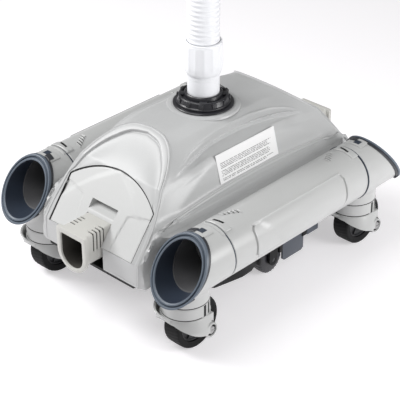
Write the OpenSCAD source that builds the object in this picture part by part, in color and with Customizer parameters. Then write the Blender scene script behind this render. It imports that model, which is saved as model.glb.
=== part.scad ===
// Water driven pool cleaner: hull, two flow tubes, four casters, two pull-out filter drawers, hose swivel.
// Z is up, the floor is z = 0 and the hose inlet axis is x = y = 0. The front nozzle points along -Y.

/* [Hull] */
// half length of the hull, front face to centre
hull_half_l = 210; // [205:1:216]
// height of the roof above the floor
roof_z = 238; // [232:1:240]
// lower edge of the shell above the floor
shell_base_z = 88; // [86:1:92]
// shell wall
wall = 3; // [2:0.5:4]
// bottom of the deep part of the base pan
pan_z = 36; // [30:1:44]

/* [Side tubes] */
// distance of each tube axis from the centre plane
tube_x = 141; // [139:1:144]
// height of the tube axis
tube_z = 132; // [130:1:134]
// outer radius of the tube
tube_r = 37.5; // [37:0.5:38]
// bore radius of the tube
tube_bore_r = 33; // [31:0.5:34]
// half length of the straight tube
tube_half_l = 129.9; // [128:0.1:130]
// distance of each mouth's centre from the centre plane
mouth_y = 195; // [190:1:200]
// lean of the mouth's plane from upright
mouth_tilt = 34.4; // [25:0.1:38]

/* [Casters] */
// distance of each swivel axis from the centre plane
caster_x = 127; // [126:1:130]
// distance of each swivel axis from the inlet axis, along the hull
caster_y = 168; // [165:1:170]
// swivel axis to axle, the trail
trail = 10; // [8:1:10]
// wheel radius
wheel_r = 36.5; // [34:0.5:36.5]
// wheel width
wheel_w = 20; // [16:1:22]
// outer radius of the caster cup
cup_r = 31; // [30:0.5:32]
// height of the joint between cup and elbow
cup_top_z = 77; // [76:0.5:78]

/* [Drawers] */
// half width of the drawer front
door_half_w = 75; // [70:1:76]
// height of the drawer front's lower edge
door_low_z = 121; // [118:1:124]
// height of the drawer front's shoulders
door_shoulder_z = 174; // [168:1:178]
// height of the drawer front's crown
door_crown_z = 198; // [192:1:202]
// distance of each nozzle's lip from the inlet axis
nozzle_y = 240; // [232:1:244]

/* [Inlet] */
// radius of the inlet flange
flange_r = 40.5; // [38:0.5:42]
// outer radius of the swivel pipe
pipe_r = 21.2; // [21:0.1:21.4]
// outer radius of the hose
hose_r = 21.5; // [21:0.1:22]
// free length of the hose that is drawn
hose_len = 262; // [260:1:300]

/* [Hidden] */
fit = 0.05;
gap = 0.3;
joint_gap = 0.5;
far = 400;
round_fn = 96;
small_fn = 48;

// front face slopes, front to roof
slope_top_y = 152;
crest_y = 100;
crest_drop = 2;

door_rise = door_crown_z - door_shoulder_z;
door_arc_r = (door_half_w * door_half_w + door_rise * door_rise) / (2 * door_rise);
door_lean = atan2(door_crown_z - door_low_z, hull_half_l - slope_top_y);
door_t = 3;

nozzle_half_w = 27;
nozzle_top_z = 147;
nozzle_round_z = 116;
neck_half_w = 22;
neck_top_z = 146;
neck_round_z = 113.5;
duct_half_w = 19.5;
duct_top_z = 139.5;
duct_round_z = 114.5;
duct_end_y = 104;
lip_t = 6;
notch_half_w = neck_half_w + 2;

grip_half_w = 23;
grip_low_z = 147;
grip_high_z = 161.5;
grip_y = 168;

axle_r = 3;
axle_z = wheel_r;
arm_in = 27;
arm_out = 31;
boss_out = 34.5;
hub_r = wheel_r - 9.5;
fork_ceiling = 75;
spacer_r = 8;
wheel_room = 2;
stem_r = 6;
stem_top = 92;
elbow_start = tube_half_l + 2.2;
post_top_z = tube_z - 5;
ring_r = 40;
ring_t = 3.9;
collar_r = 39.3;
collar_low_z = 104;

chamber_z = 112;
chamber_half = [30, 40, 24];
chamber_wall = 4;
flap_pivot_z = 126;
riser_r = 22;
riser_bore = 18;
riser_top = 231.4;
turbine_z = 176;
turbine_h = 22;

roller_x = 92;
roller_y = 28;
roller_z = 24.5;
roller_r = 22;
flap_x = 101;
flap_pin_z = 58;
flap_y = [53, 89];
flap_low_z = 12;

nut_z = 283;
nut_h = 45;
hose_z = nut_z + 33;
hose_bore_r = 18.5;
cuff_r = 24.5;
cuff_bore_r = 19.1;
cuff_l = 50;
cuff_lap = 8;

deck_t = 4;
screw_r = 1.9;
screw_at = [for (sx = [-1, 1], sy = [-1, 1]) [sx * 88, sy * 104]];

label_y = -4;
label_l = 112;
label_h = 39;
label_t = 0.5;

body_grey = [0.76, 0.77, 0.77];
door_grey = [0.86, 0.87, 0.87];
warm_grey = [0.8, 0.8, 0.77];
slate = [0.44, 0.48, 0.53];
charcoal = [0.2, 0.2, 0.22];
black = [0.06, 0.06, 0.07];
hub_grey = [0.3, 0.31, 0.33];
white = [0.93, 0.94, 0.96];
steel = [0.6, 0.6, 0.6];

// ---------- helpers ----------

// right half of the hull's cross-section, from the roof's middle down
function half_section(top) = [[0, top], [25, top - 1], [45, top - 4], [58, top - 9.5], [68, top - 17],
    [76, top - 25], [87, top - 66], [90, top - 71], [98, top - 78], [109, top - 87],
    [112, top - 92], [112, top - 118], [102, top - 136], [102, shell_base_z]];

// unit normal that points into the hull, for an edge that runs down the right side
function inward(a, b) = [b.y - a.y, a.x - b.x] / norm(b - a);

// a corner of the section moved in by t, mitred between its two edges
function mitred(points, i, t) = let (last = len(points) - 1,
    before = inward(points[max(i - 1, 0)], points[max(i, 1)]),
    after = inward(points[min(i, last - 1)], points[min(i + 1, last)]))
    points[i] + t * (before + after) / (1 + before * after);

module mirror_x_polygon(points) {
    polygon(points);
    mirror([1, 0, 0]) polygon(points);
}

// fills from the middle plane to the section moved in by t; the inner one runs out below
module cross_section(t) {
    outer = half_section(roof_z);
    last = len(outer) - 1;
    low = shell_base_z - t;
    mirror_x_polygon(concat([[0, roof_z - t]], [for (i = [1:last - 1]) mitred(outer, i, t)],
        [[outer[last].x - t, low], [0, low]]));
}

// side view, front half, drawn with y across and z up
module side_view(t) {
    low = shell_base_z - t;
    front = hull_half_l - t;
    for (side = [0, 1]) mirror([side, 0, 0])
        polygon([[0, low], [front, low], [front, door_low_z - t / 2], [slope_top_y - t / 2, door_crown_z - t],
            [crest_y, roof_z - crest_drop - t], [crest_y - 25, roof_z - t], [0, roof_z - t]]);
}

// plan view: full width between the caster posts, narrower past them
module plan_view(t) {
    wide = 112 - t;
    narrow = 94 - t;
    nose = 80 - t;
    for (sx = [0, 1], sy = [0, 1]) mirror([sx, 0, 0]) mirror([0, sy, 0])
        polygon([[0, 0], [wide, 0], [wide, 126], [narrow, 130], [narrow, 186], [nose, 204],
            [nose - 2, hull_half_l - t], [0, hull_half_l - t]]);
}

// hull solid, shrunk by t
module hull_form(t) {
    intersection() {
        rotate([90, 0, 0]) linear_extrude(2 * far, center = true) cross_section(t);
        rotate([90, 0, 90]) linear_extrude(2 * far, center = true) side_view(t);
        linear_extrude(2 * far, center = true) plan_view(t);
    }
}

module along_y(length) {
    rotate([90, 0, 0]) linear_extrude(length, center = true) children();
}

// drawer front outline, x across and z up, grown by g
module door_outline(g) {
    intersection() {
        translate([-door_half_w - g, door_low_z - g])
            square([2 * (door_half_w + g), door_crown_z - door_low_z + 2 * g]);
        translate([0, door_crown_z - door_arc_r]) circle(door_arc_r + g, $fn = 180);
    }
}

// slot with a round bottom, x across and z up
module tub_outline(half_w, round_z, top_z) {
    translate([0, round_z]) circle(half_w, $fn = round_fn);
    translate([-half_w, round_z]) square([2 * half_w, top_z - round_z]);
}

// puts a front part at the rear
module at_rear() {
    rotate([0, 0, 180]) children();
}

// corner placement from the right front one
module at_corner(sx, sy) {
    mirror([sx < 0 ? 1 : 0, 0, 0]) mirror([0, sy > 0 ? 1 : 0, 0]) children();
}

// tube axis along Y
module y_cylinder(r, y0, y1) {
    translate([0, y1, 0]) rotate([90, 0, 0]) cylinder(r = r, h = y1 - y0, $fn = round_fn);
}

module x_cylinder(r, x0, x1) {
    translate([x0, 0, 0]) rotate([0, 90, 0]) cylinder(r = r, h = x1 - x0, $fn = small_fn);
}

// slab square to the right front mouth's axis, from s0 to s1 in front of the mouth's plane
module mouth_slab(s0, s1) {
    translate([tube_x, -mouth_y, tube_z]) rotate([-mouth_tilt, 0, 0])
        translate([-100, -s1, -100]) cube([200, s1 - s0, 200]);
}

// ---------- hull ----------

module top_shell() {
    color(body_grey) difference() {
        union() {
            difference() {
                hull_form(0);
                hull_form(wall);
            }
            inlet_boss();
            shell_bosses();
        }
        tube_and_post_room();
        // drawer openings and the notches under them
        along_y(2 * far) door_outline(joint_gap);
        along_y(2 * far) translate([-notch_half_w, shell_base_z - 5])
            square([2 * notch_half_w, door_low_z - shell_base_z + 6]);
        translate([0, 0, 200]) cylinder(r = 32.3, h = 60, $fn = round_fn);
        screw_holes();
    }
}

module inlet_boss() {
    translate([0, 0, roof_z - wall]) cylinder(r1 = 47, r2 = 43, h = wall + 0.7, $fn = round_fn);
}

// each boss is tied to the flank by a rib
module shell_bosses() {
    boss_h = 24;
    rib_t = 3;
    for (p = screw_at) translate([p.x, p.y, shell_base_z]) {
        cylinder(r = 5, h = boss_h, $fn = small_fn);
        mirror([p.x < 0 ? 1 : 0, 0, 0]) translate([0, -rib_t / 2, 0]) cube([13, rib_t, boss_h]);
    }
}

module screw_holes() {
    for (p = screw_at) translate([p.x, p.y, shell_base_z - 1])
        cylinder(r = screw_r, h = 21, $fn = small_fn);
}

// room for the tubes, the elbows and the caster posts
module tube_and_post_room() {
    for (sx = [-1, 1]) {
        translate([sx * tube_x, 0, tube_z]) y_cylinder(tube_r + gap, -far, far);
        for (sy = [-1, 1]) translate([sx * caster_x, sy * caster_y, 0])
            cylinder(r = cup_r + 1.2, h = 150, $fn = round_fn);
    }
}

module base_pan() {
    deep = [98, 95];
    color(black) difference() {
        union() {
            // deck that closes the shell below
            translate([0, 0, shell_base_z - deck_t]) linear_extrude(deck_t) intersection() {
                plan_view(1);
                square([202, 2 * hull_half_l], center = true);
            }
            translate([-deep.x, -deep.y, pan_z]) cube([2 * deep.x, 2 * deep.y, shell_base_z - pan_z]);
            for (s = [-1, 1]) rotate([0, 0, s > 0 ? 0 : 180]) {
                roller_bracket();
                flap_lugs();
            }
        }
        difference() {
            translate([-deep.x + wall, -deep.y + wall, pan_z + wall])
                cube([2 * (deep.x - wall), 2 * (deep.y - wall), shell_base_z]);
            for (sx = [-1, 1], sy = [-1, 1]) translate([sx * 26, sy * 36, pan_z])
                cylinder(r = 3.5, h = shell_base_z - pan_z, $fn = small_fn);
            for (s = [-1, 1]) rotate([0, 0, s > 0 ? 0 : 180]) roller_bracket();
        }
        // suction throat
        translate([-20, -30, pan_z - 1]) cube([40, 60, wall + 2]);
        // room and bearings for the rollers and the skirt flaps
        for (s = [-1, 1]) rotate([0, 0, s > 0 ? 0 : 180]) {
            roller_room();
            translate([roller_x, roller_y, roller_z]) x_cylinder(axle_r + fit, -20, 20);
            translate([flap_x, 0, flap_pin_z]) y_cylinder(2 + fit, flap_y[0] - 8, flap_y[1] + 8);
            flap_room();
        }
        for (p = screw_at) translate([p.x, p.y, shell_base_z - deck_t - 1])
            cylinder(r = screw_r + gap, h = deck_t + 2, $fn = small_fn);
    }
}

module roller_bracket() {
    for (x = [roller_x - 13, roller_x + 9.5]) translate([x, roller_y, 0]) {
        translate([0, -8, roller_z]) cube([3, 16, 40]);
        translate([0, 0, roller_z]) x_cylinder(8, 0, 3);
    }
    // ties the outer plate to the pan's side
    translate([roller_x + 3, roller_y - 8, roller_z + 28]) cube([9.5, 16, 12]);
}

module roller_room() {
    translate([roller_x - 9.5, roller_y - 25, 0]) cube([18.5, 50, roller_z + 25]);
}

module flap_lugs() {
    for (y = [flap_y[0] - 4.5, flap_y[1] + 0.5]) translate([flap_x, y, flap_pin_z]) {
        y_cylinder(5, 0, 4);
        translate([-5, 0, -5]) cube([4, 4, 10]);
    }
}

module flap_room() {
    translate([flap_x, 0, flap_pin_z]) y_cylinder(4.5, flap_y[0] - 0.4, flap_y[1] + 0.4);
}

module hull_screws() {
    head_h = 2.4;
    color(steel) for (p = screw_at) translate([p.x, p.y, shell_base_z - deck_t - head_h]) difference() {
        union() {
            cylinder(r = 4, h = head_h - fit, $fn = small_fn);
            cylinder(r = screw_r - fit, h = 24, $fn = small_fn);
        }
        // cross recess
        for (a = [0, 90]) rotate([0, 0, a]) translate([-2.2, -0.5, -1]) cube([4.4, 1, 2.2]);
    }
}

// plain sticker on the right flank
module label_plate() {
    flank = half_section(roof_z);
    top = flank[5];
    low = flank[6];
    lean = atan2(low.x - top.x, top.y - low.y);
    color(white) translate([top.x, label_y, top.y]) rotate([0, -lean, 0])
        translate([fit, -label_l / 2, -label_h - 2]) cube([label_t, label_l, label_h]);
}

// ---------- side tubes ----------

module side_tube() {
    panel_half_l = 90;
    groove_w = 3;
    color(body_grey) difference() {
        union() {
            translate([tube_x, 0, tube_z]) difference() {
                y_cylinder(tube_r, -tube_half_l, tube_half_l);
                y_cylinder(tube_bore_r, -far, far);
                // grooves around the outer panel
                for (y = [-panel_half_l, panel_half_l]) rotate([0, 60, 0]) rotate([90, 0, 0])
                    translate([0, 0, y - groove_w / 2]) rotate_extrude(angle = 90, $fn = round_fn)
                        translate([tube_r - 1, 0]) square([2, groove_w]);
            }
            for (s = [0, 1]) mirror([0, s, 0]) tube_tongue();
        }
        translate([tube_x, 0, tube_z]) for (s = [0, 1]) mirror([0, s, 0]) tongue_slot();
    }
}

// moulded tongue with grip ribs at the tube's front end
module tube_tongue() {
    translate([tube_x - 10, -tube_half_l, tube_z + tube_r - 3]) cube([20, 18, 4.5]);
    for (i = [0:4]) translate([tube_x - 12, -110 + i * 6, tube_z + tube_r - 4]) cube([11, 2, 3.5]);
}

module tongue_slot() {
    translate([-5, -tube_half_l + 5, tube_r - 1.5]) cube([10, 3, 4]);
}

// ---------- elbows with their caster posts ----------

module elbow() {
    color(body_grey) difference() {
        union() {
            intersection() {
                translate([tube_x, 0, tube_z]) y_cylinder(tube_r, -far, -elbow_start);
                mouth_slab(-140, -4);
            }
            intersection() {
                translate([caster_x, -caster_y, cup_top_z]) cylinder(r = cup_r, h = 60, $fn = round_fn);
                mouth_slab(-140, -4);
                translate([caster_x - 60, -far, 0]) cube([120, far - elbow_start, post_top_z]);
            }
        }
        translate([tube_x, 0, tube_z]) y_cylinder(tube_bore_r, -far, far);
        translate([caster_x, -caster_y, cup_top_z - 1]) {
            cylinder(r = cup_r - 2.8, h = 3.5, $fn = round_fn);
            cylinder(r = stem_r + fit, h = stem_top - cup_top_z + 1.5, $fn = small_fn);
        }
    }
}

module mouth_ring() {
    color(slate) intersection() {
        translate([tube_x, 0, tube_z]) difference() {
            y_cylinder(ring_r, -far, 0);
            y_cylinder(tube_bore_r, -far - 1, 1);
        }
        mouth_slab(-ring_t, 2);
    }
}

module mouth_collar() {
    color(charcoal) intersection() {
        translate([tube_x, 0, tube_z]) difference() {
            y_cylinder(collar_r, -far, 0);
            y_cylinder(tube_r + 0.1, -far - 1, 1);
        }
        mouth_slab(-11, -4);
        // open below, where the post starts, and clear of the post
        difference() {
            translate([0, -far, collar_low_z]) cube([far, far, far]);
            translate([caster_x, -caster_y, 0])
                cylinder(r = cup_r + gap, h = post_top_z + gap, $fn = round_fn);
        }
    }
}

module gasket() {
    color(slate) translate([tube_x, 0, tube_z]) difference() {
        y_cylinder(tube_r - 0.7, -elbow_start + 0.05, -tube_half_l - 0.05);
        y_cylinder(tube_bore_r + 0.5, -far, far);
    }
}

// ---------- inlet ----------

module inlet_flange() {
    color(black) difference() {
        union() {
            translate([0, 0, roof_z + 0.8]) cylinder(r = flange_r, h = 2.7, $fn = round_fn);
            translate([0, 0, riser_top + 0.1]) cylinder(r = 32, h = 8, $fn = round_fn);
        }
        translate([0, 0, roof_z - 2]) cylinder(r = 29, h = 10, $fn = round_fn);
        translate([0, 0, riser_top - 5]) cylinder(r = riser_bore, h = 20, $fn = round_fn);
    }
}

module lock_ring() {
    base = roof_z + 3.6;
    lugs = 12;
    color(black) difference() {
        union() {
            translate([0, 0, base]) cylinder(r = 35, h = 8, $fn = round_fn);
            translate([0, 0, base + 8]) cylinder(r1 = 33, r2 = 26, h = 5, $fn = round_fn);
            for (i = [0:lugs - 1]) rotate([0, 0, i * 360 / lugs])
                translate([33, -3, base]) cube([4.5, 6, 7]);
        }
        translate([0, 0, base - 1]) cylinder(r = 29, h = 7, $fn = round_fn);
        cylinder(r = pipe_r + gap, h = far, $fn = round_fn);
    }
}

// ---------- inside: riser, turbine, diverter ----------

module manifold() {
    inner = [for (v = chamber_half) v - chamber_wall];
    color(charcoal) difference() {
        union() {
            translate([0, 0, chamber_z]) cube([for (v = chamber_half) 2 * v], center = true);
            translate([0, 0, chamber_z]) cylinder(r = riser_r, h = riser_top - chamber_z, $fn = round_fn);
            translate([0, 0, duct_round_z]) y_cylinder(17, -duct_end_y + 0.5, duct_end_y - 0.5);
        }
        difference() {
            union() {
                translate([0, 0, chamber_z]) cube([for (v = inner) 2 * v], center = true);
                translate([0, 0, chamber_z]) cylinder(r = riser_bore, h = far, $fn = round_fn);
            }
            for (z = [turbine_z - 5, turbine_z + turbine_h + 1]) translate([0, 0, z]) turbine_spider();
        }
        translate([0, 0, duct_round_z]) y_cylinder(14, -far, far);
        translate([0, 0, flap_pivot_z]) x_cylinder(axle_r + fit, -far, far);
        translate([0, 0, turbine_z - 8]) cylinder(r = 2 + fit, h = turbine_h + 16, $fn = small_fn);
    }
}

module turbine_spider() {
    for (a = [0, 90]) rotate([0, 0, a]) translate([-riser_bore - 1, -1.5, 0])
        cube([2 * riser_bore + 2, 3, 4]);
    cylinder(r = 4.5, h = 4, $fn = small_fn);
}

module turbine() {
    blades = 6;
    color(slate) translate([0, 0, turbine_z]) {
        cylinder(r = 6, h = turbine_h, $fn = small_fn);
        translate([0, 0, -4.5]) cylinder(r = 2, h = turbine_h + 9, $fn = small_fn);
        for (i = [0:blades - 1]) rotate([0, 0, i * 360 / blades])
            translate([4, -0.8, 2]) rotate([25, 0, 0]) cube([12, 1.6, turbine_h - 6]);
    }
}

module diverter() {
    color(slate) translate([0, 0, flap_pivot_z]) {
        x_cylinder(axle_r, -chamber_half.x + 0.5, chamber_half.x - 0.5);
        x_cylinder(4.5, -chamber_half.x + chamber_wall + 1, chamber_half.x - chamber_wall - 1);
        translate([-24, -1.5, -30]) cube([48, 3, 30]);
    }
}

// ---------- pull-out filter drawers, drawn for the front ----------

// slab of the sloped front face, from depth d0 to d1 behind the face
module door_slab(d0, d1) {
    translate([0, -hull_half_l, door_low_z]) rotate([door_lean, 0, 0])
        translate([-100, -60, -d1]) cube([200, 220, d1 - d0]);
}

module door() {
    color(door_grey) difference() {
        union() {
            intersection() {
                along_y(2 * far) door_outline(0);
                door_slab(0, door_t);
            }
            // finger pocket
            intersection() {
                translate([-grip_half_w - 3, -far, neck_top_z + 0.2])
                    cube([2 * grip_half_w + 6, far - grip_y + 3, grip_high_z - neck_top_z + 3]);
                door_slab(0, 60);
            }
        }
        // the nozzle's neck passes through
        along_y(2 * far) tub_outline(neck_half_w + 0.1, neck_round_z, neck_top_z + 0.1);
        translate([-grip_half_w, -far, grip_low_z + 1])
            cube([2 * grip_half_w, far - grip_y, grip_high_z - grip_low_z - 1]);
    }
}

module nozzle() {
    slots = 4;
    slot_pitch = 6;
    slot_w = 2.4;
    slot_h = 28;
    slot_depth = 1.2;
    color(warm_grey) difference() {
        union() {
            translate([0, -(nozzle_y + duct_end_y) / 2, 0]) along_y(nozzle_y - duct_end_y)
                tub_outline(neck_half_w, neck_round_z, neck_top_z);
            translate([0, -nozzle_y + lip_t / 2, 0]) along_y(lip_t)
                tub_outline(nozzle_half_w, nozzle_round_z, nozzle_top_z);
        }
        along_y(2 * far) tub_outline(duct_half_w, duct_round_z, duct_top_z);
        // grip slots in both cheeks
        for (s = [-1, 1], i = [0:slots - 1])
            translate([s * neck_half_w, -nozzle_y + 15 + i * slot_pitch, neck_top_z - slot_h / 2])
                cube([2 * slot_depth, slot_w, slot_h + 2], center = true);
    }
}

// two mesh pockets, one each side of the duct
module screen() {
    inner_x = 26;
    outer_x = 66;
    depth = 78;
    top = 166;
    low = door_low_z + 2;
    t = 2;
    start = 196;
    slot_h = 28;
    color(charcoal) {
        for (s = [0, 1]) mirror([s, 0, 0]) difference() {
            translate([inner_x, -start, low]) cube([outer_x - inner_x, depth, top - low]);
            translate([inner_x + t, -start + t, low + t])
                cube([outer_x - inner_x - 2 * t, depth - 2 * t, top]);
            // slots through the end walls, then through the side walls
            for (i = [0:5]) translate([inner_x + 5 + i * 5.5, -start - 1, low + 8])
                cube([2.6, depth + 2, slot_h]);
            for (i = [0:9]) translate([inner_x - 1, -start + 7 + i * 7, low + 8])
                cube([outer_x - inner_x + 2, 3, slot_h]);
            // keeps the pockets behind the drawer front
            door_slab(-80, door_t + gap);
        }
        // bridge behind the finger pocket
        translate([-inner_x, -start + 36, neck_top_z + gap]) cube([2 * inner_x, 3, 8]);
    }
}

// ---------- hose swivel ----------

module swivel_pipe() {
    color(white) difference() {
        union() {
            translate([0, 0, roof_z - 1.6]) cylinder(r = pipe_r, h = 77, $fn = round_fn);
            translate([0, 0, roof_z - 1.6]) cylinder(r = 28.7, h = 9, $fn = round_fn);
        }
        translate([0, 0, roof_z - 5]) cylinder(r = 17, h = far, $fn = round_fn);
    }
}

module swivel_nut() {
    flutes = 14;
    color(white) difference() {
        union() {
            translate([0, 0, nut_z + 5]) cylinder(r = 25, h = nut_h - 5, $fn = round_fn);
            translate([0, 0, nut_z]) cylinder(r1 = 23, r2 = 25.6, h = 5, $fn = round_fn);
            for (i = [0:flutes - 1]) rotate([0, 0, i * 360 / flutes])
                translate([23, -2.6, nut_z + 4]) cube([3, 5.2, nut_h - 8]);
        }
        translate([0, 0, nut_z - 1]) cylinder(r = pipe_r + 0.1, h = hose_z - nut_z - 1, $fn = round_fn);
        translate([0, 0, nut_z - 1]) cylinder(r = 18, h = nut_h + 2, $fn = round_fn);
        translate([0, 0, hose_z]) cylinder(r = hose_r + 0.1, h = nut_h, $fn = round_fn);
    }
}

module hose_tube() {
    color(white) translate([0, 0, hose_z + 0.2]) difference() {
        cylinder(r = hose_r, h = hose_len, $fn = round_fn);
        translate([0, 0, -1]) cylinder(r = hose_bore_r, h = hose_len + 2, $fn = round_fn);
    }
}

module hose_end_cuff() {
    color(white) translate([0, 0, hose_z + hose_len - cuff_lap]) difference() {
        cylinder(r = cuff_r, h = cuff_l, $fn = round_fn);
        translate([0, 0, -1]) cylinder(r = hose_r + 0.1, h = cuff_lap + 2, $fn = round_fn);
        cylinder(r = cuff_bore_r, h = cuff_l + 1, $fn = round_fn);
    }
}

// ---------- casters, drawn for the right front swivel axis at the origin ----------

module fork() {
    skirt_z = 57;
    skirt_low_z = 45;
    skirt_flare = 5;
    cup_wall = 2.4;
    room_half = wheel_w / 2 + wheel_room;
    color(body_grey) difference() {
        union() {
            difference() {
                union() {
                    translate([0, 0, skirt_z])
                        cylinder(r = cup_r, h = cup_top_z - skirt_z - joint_gap, $fn = round_fn);
                    translate([0, 0, skirt_low_z]) cylinder(r1 = cup_r + skirt_flare, r2 = cup_r,
                        h = skirt_z - skirt_low_z, $fn = round_fn);
                }
                translate([0, 0, skirt_low_z - 1])
                    cylinder(r = cup_r - cup_wall, h = fork_ceiling - skirt_low_z + 1, $fn = round_fn);
            }
            translate([0, 0, fork_ceiling]) cylinder(r = cup_r - 3.2, h = 4, $fn = round_fn);
            translate([0, 0, fork_ceiling]) cylinder(r = stem_r, h = stem_top - fork_ceiling, $fn = small_fn);
            for (s = [-1, 1]) fork_arm(s);
        }
        translate([0, trail, axle_z]) x_cylinder(axle_r + 0.02, -far, far);
        // the wheel leaves the cup behind
        translate([-room_half, 0, 0]) cube([2 * room_half, 60, fork_ceiling]);
        translate([0, trail, axle_z]) x_cylinder(wheel_r + 1.2, -room_half, room_half);
    }
}

module fork_arm(s) {
    a = s > 0 ? arm_in : -arm_out;
    b = s > 0 ? arm_in : -boss_out;
    translate([a, trail - 9, axle_z]) cube([arm_out - arm_in, 18, 24]);
    translate([0, trail, axle_z]) {
        x_cylinder(9, a, a + arm_out - arm_in);
        x_cylinder(7, b, b + boss_out - arm_in);
        // spacer between the arm and the hub
        mirror([s < 0 ? 1 : 0, 0, 0]) x_cylinder(spacer_r, wheel_w / 2, arm_in + 1);
    }
}

// rod with a slotted head at each end
module axle() {
    head_t = 2;
    slot_w = 1.4;
    color(steel) translate([0, trail, axle_z]) difference() {
        union() {
            x_cylinder(axle_r, -boss_out - 1, boss_out + 1);
            for (s = [0, 1]) mirror([s, 0, 0]) x_cylinder(5, boss_out + fit, boss_out + head_t);
        }
        for (s = [0, 1]) mirror([s, 0, 0]) translate([boss_out + head_t - 1, -6, -slot_w / 2])
            cube([3, 12, slot_w]);
    }
}

module hub() {
    hub_half = wheel_w / 2 - 2;
    color(hub_grey) translate([0, trail, axle_z]) difference() {
        union() {
            x_cylinder(hub_r - 0.02, -hub_half, hub_half);
            x_cylinder(spacer_r, -wheel_w / 2 - 1.6, wheel_w / 2 + 1.6);
        }
        x_cylinder(axle_r + fit, -far, far);
        // dished faces
        for (s = [0, 1]) mirror([s, 0, 0]) difference() {
            x_cylinder(hub_r - 5, hub_half - 2.5, far);
            x_cylinder(spacer_r + 3, -far, far);
        }
    }
}

module tyre() {
    edge = 3;
    half = wheel_w / 2;
    color(black) translate([0, trail, axle_z]) rotate([0, 90, 0]) rotate_extrude($fn = round_fn)
        polygon([[hub_r, -half + 1], [hub_r + 2, -half], [wheel_r - edge, -half], [wheel_r, -half + edge],
            [wheel_r, half - edge], [wheel_r - edge, half], [hub_r + 2, half], [hub_r, half - 1]]);
}

// places a caster part at a corner; every caster trails the same way
module at_caster(sx, sy) {
    translate([sx * caster_x, sy * caster_y, 0]) children();
}

// ---------- underside ----------

module roller() {
    color(black) translate([roller_x, roller_y, roller_z]) {
        x_cylinder(roller_r, -8, 7.5);
        x_cylinder(axle_r, -12.8, 12.3);
        x_cylinder(5, -9.2, 9.2);
    }
}

module skirt_flap() {
    color(slate) translate([flap_x, 0, 0]) {
        translate([-1.5, flap_y[0], flap_low_z]) cube([3, flap_y[1] - flap_y[0], flap_pin_z - flap_low_z]);
        translate([0, 0, flap_pin_z]) y_cylinder(4, flap_y[0], flap_y[1]);
        translate([0, 0, flap_pin_z]) y_cylinder(2, flap_y[0] - 4, flap_y[1] + 4);
        translate([-3, flap_y[0], flap_low_z]) cube([6, flap_y[1] - flap_y[0], 4]);
    }
}

// ---------- one line for each sub-part ----------

top_shell();
base_pan();
hull_screws();
label_plate();
side_tube();  // tube_right
mirror([1, 0, 0]) side_tube();  // tube_left
elbow();  // elbow_rf
at_corner(-1, -1) elbow();  // elbow_lf
at_corner(1, 1) elbow();  // elbow_rb
at_corner(-1, 1) elbow();  // elbow_lb
mouth_ring();  // mouth_ring_rf
at_corner(-1, -1) mouth_ring();  // mouth_ring_lf
at_corner(1, 1) mouth_ring();  // mouth_ring_rb
at_corner(-1, 1) mouth_ring();  // mouth_ring_lb
mouth_collar();  // mouth_collar_rf
at_corner(-1, -1) mouth_collar();  // mouth_collar_lf
at_corner(1, 1) mouth_collar();  // mouth_collar_rb
at_corner(-1, 1) mouth_collar();  // mouth_collar_lb
gasket();  // gasket_rf
at_corner(-1, -1) gasket();  // gasket_lf
at_corner(1, 1) gasket();  // gasket_rb
at_corner(-1, 1) gasket();  // gasket_lb
inlet_flange();
lock_ring();
manifold();
door();  // door_front
nozzle();  // nozzle_front
screen();  // screen_front
at_rear() door();  // door_rear
at_rear() nozzle();  // nozzle_rear
at_rear() screen();  // screen_rear
swivel_pipe();
swivel_nut();
hose_tube();
hose_end_cuff();
at_caster(1, -1) fork();  // fork_rf
at_caster(-1, -1) fork();  // fork_lf
at_caster(1, 1) fork();  // fork_rb
at_caster(-1, 1) fork();  // fork_lb
at_caster(1, -1) axle();  // axle_rf
at_caster(-1, -1) axle();  // axle_lf
at_caster(1, 1) axle();  // axle_rb
at_caster(-1, 1) axle();  // axle_lb
at_caster(1, -1) hub();  // hub_rf
at_caster(-1, -1) hub();  // hub_lf
at_caster(1, 1) hub();  // hub_rb
at_caster(-1, 1) hub();  // hub_lb
at_caster(1, -1) tyre();  // tyre_rf
at_caster(-1, -1) tyre();  // tyre_lf
at_caster(1, 1) tyre();  // tyre_rb
at_caster(-1, 1) tyre();  // tyre_lb
roller();  // roller_right
at_rear() roller();  // roller_left
skirt_flap();  // skirt_flap_right
at_rear() skirt_flap();  // skirt_flap_left
turbine();
diverter();
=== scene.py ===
"""Pool cleaner on casters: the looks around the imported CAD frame. Lengths in the code are millimetres."""
import math

import bmesh
import bpy
import numpy as np
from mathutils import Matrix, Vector


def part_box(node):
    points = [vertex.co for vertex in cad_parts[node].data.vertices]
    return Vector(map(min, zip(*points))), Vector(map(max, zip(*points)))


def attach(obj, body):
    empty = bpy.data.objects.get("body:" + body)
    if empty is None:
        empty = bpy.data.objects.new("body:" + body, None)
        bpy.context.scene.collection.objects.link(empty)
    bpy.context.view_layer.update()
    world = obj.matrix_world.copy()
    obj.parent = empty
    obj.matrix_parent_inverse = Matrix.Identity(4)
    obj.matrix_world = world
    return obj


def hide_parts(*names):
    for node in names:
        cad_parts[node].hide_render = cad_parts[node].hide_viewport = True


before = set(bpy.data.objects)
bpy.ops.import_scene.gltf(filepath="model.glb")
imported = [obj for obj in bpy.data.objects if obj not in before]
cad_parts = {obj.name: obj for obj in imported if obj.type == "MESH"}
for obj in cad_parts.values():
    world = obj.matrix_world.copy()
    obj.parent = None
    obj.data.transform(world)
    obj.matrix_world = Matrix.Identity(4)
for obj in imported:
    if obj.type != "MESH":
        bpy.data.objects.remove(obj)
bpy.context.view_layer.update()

MM = 0.001


def node_box(name):
    """A CAD node's lowest and highest corner in millimetres."""
    lo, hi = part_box(name)
    return np.array(lo) / MM, np.array(hi) / MM


# ---------- places taken from the frame ----------

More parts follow.
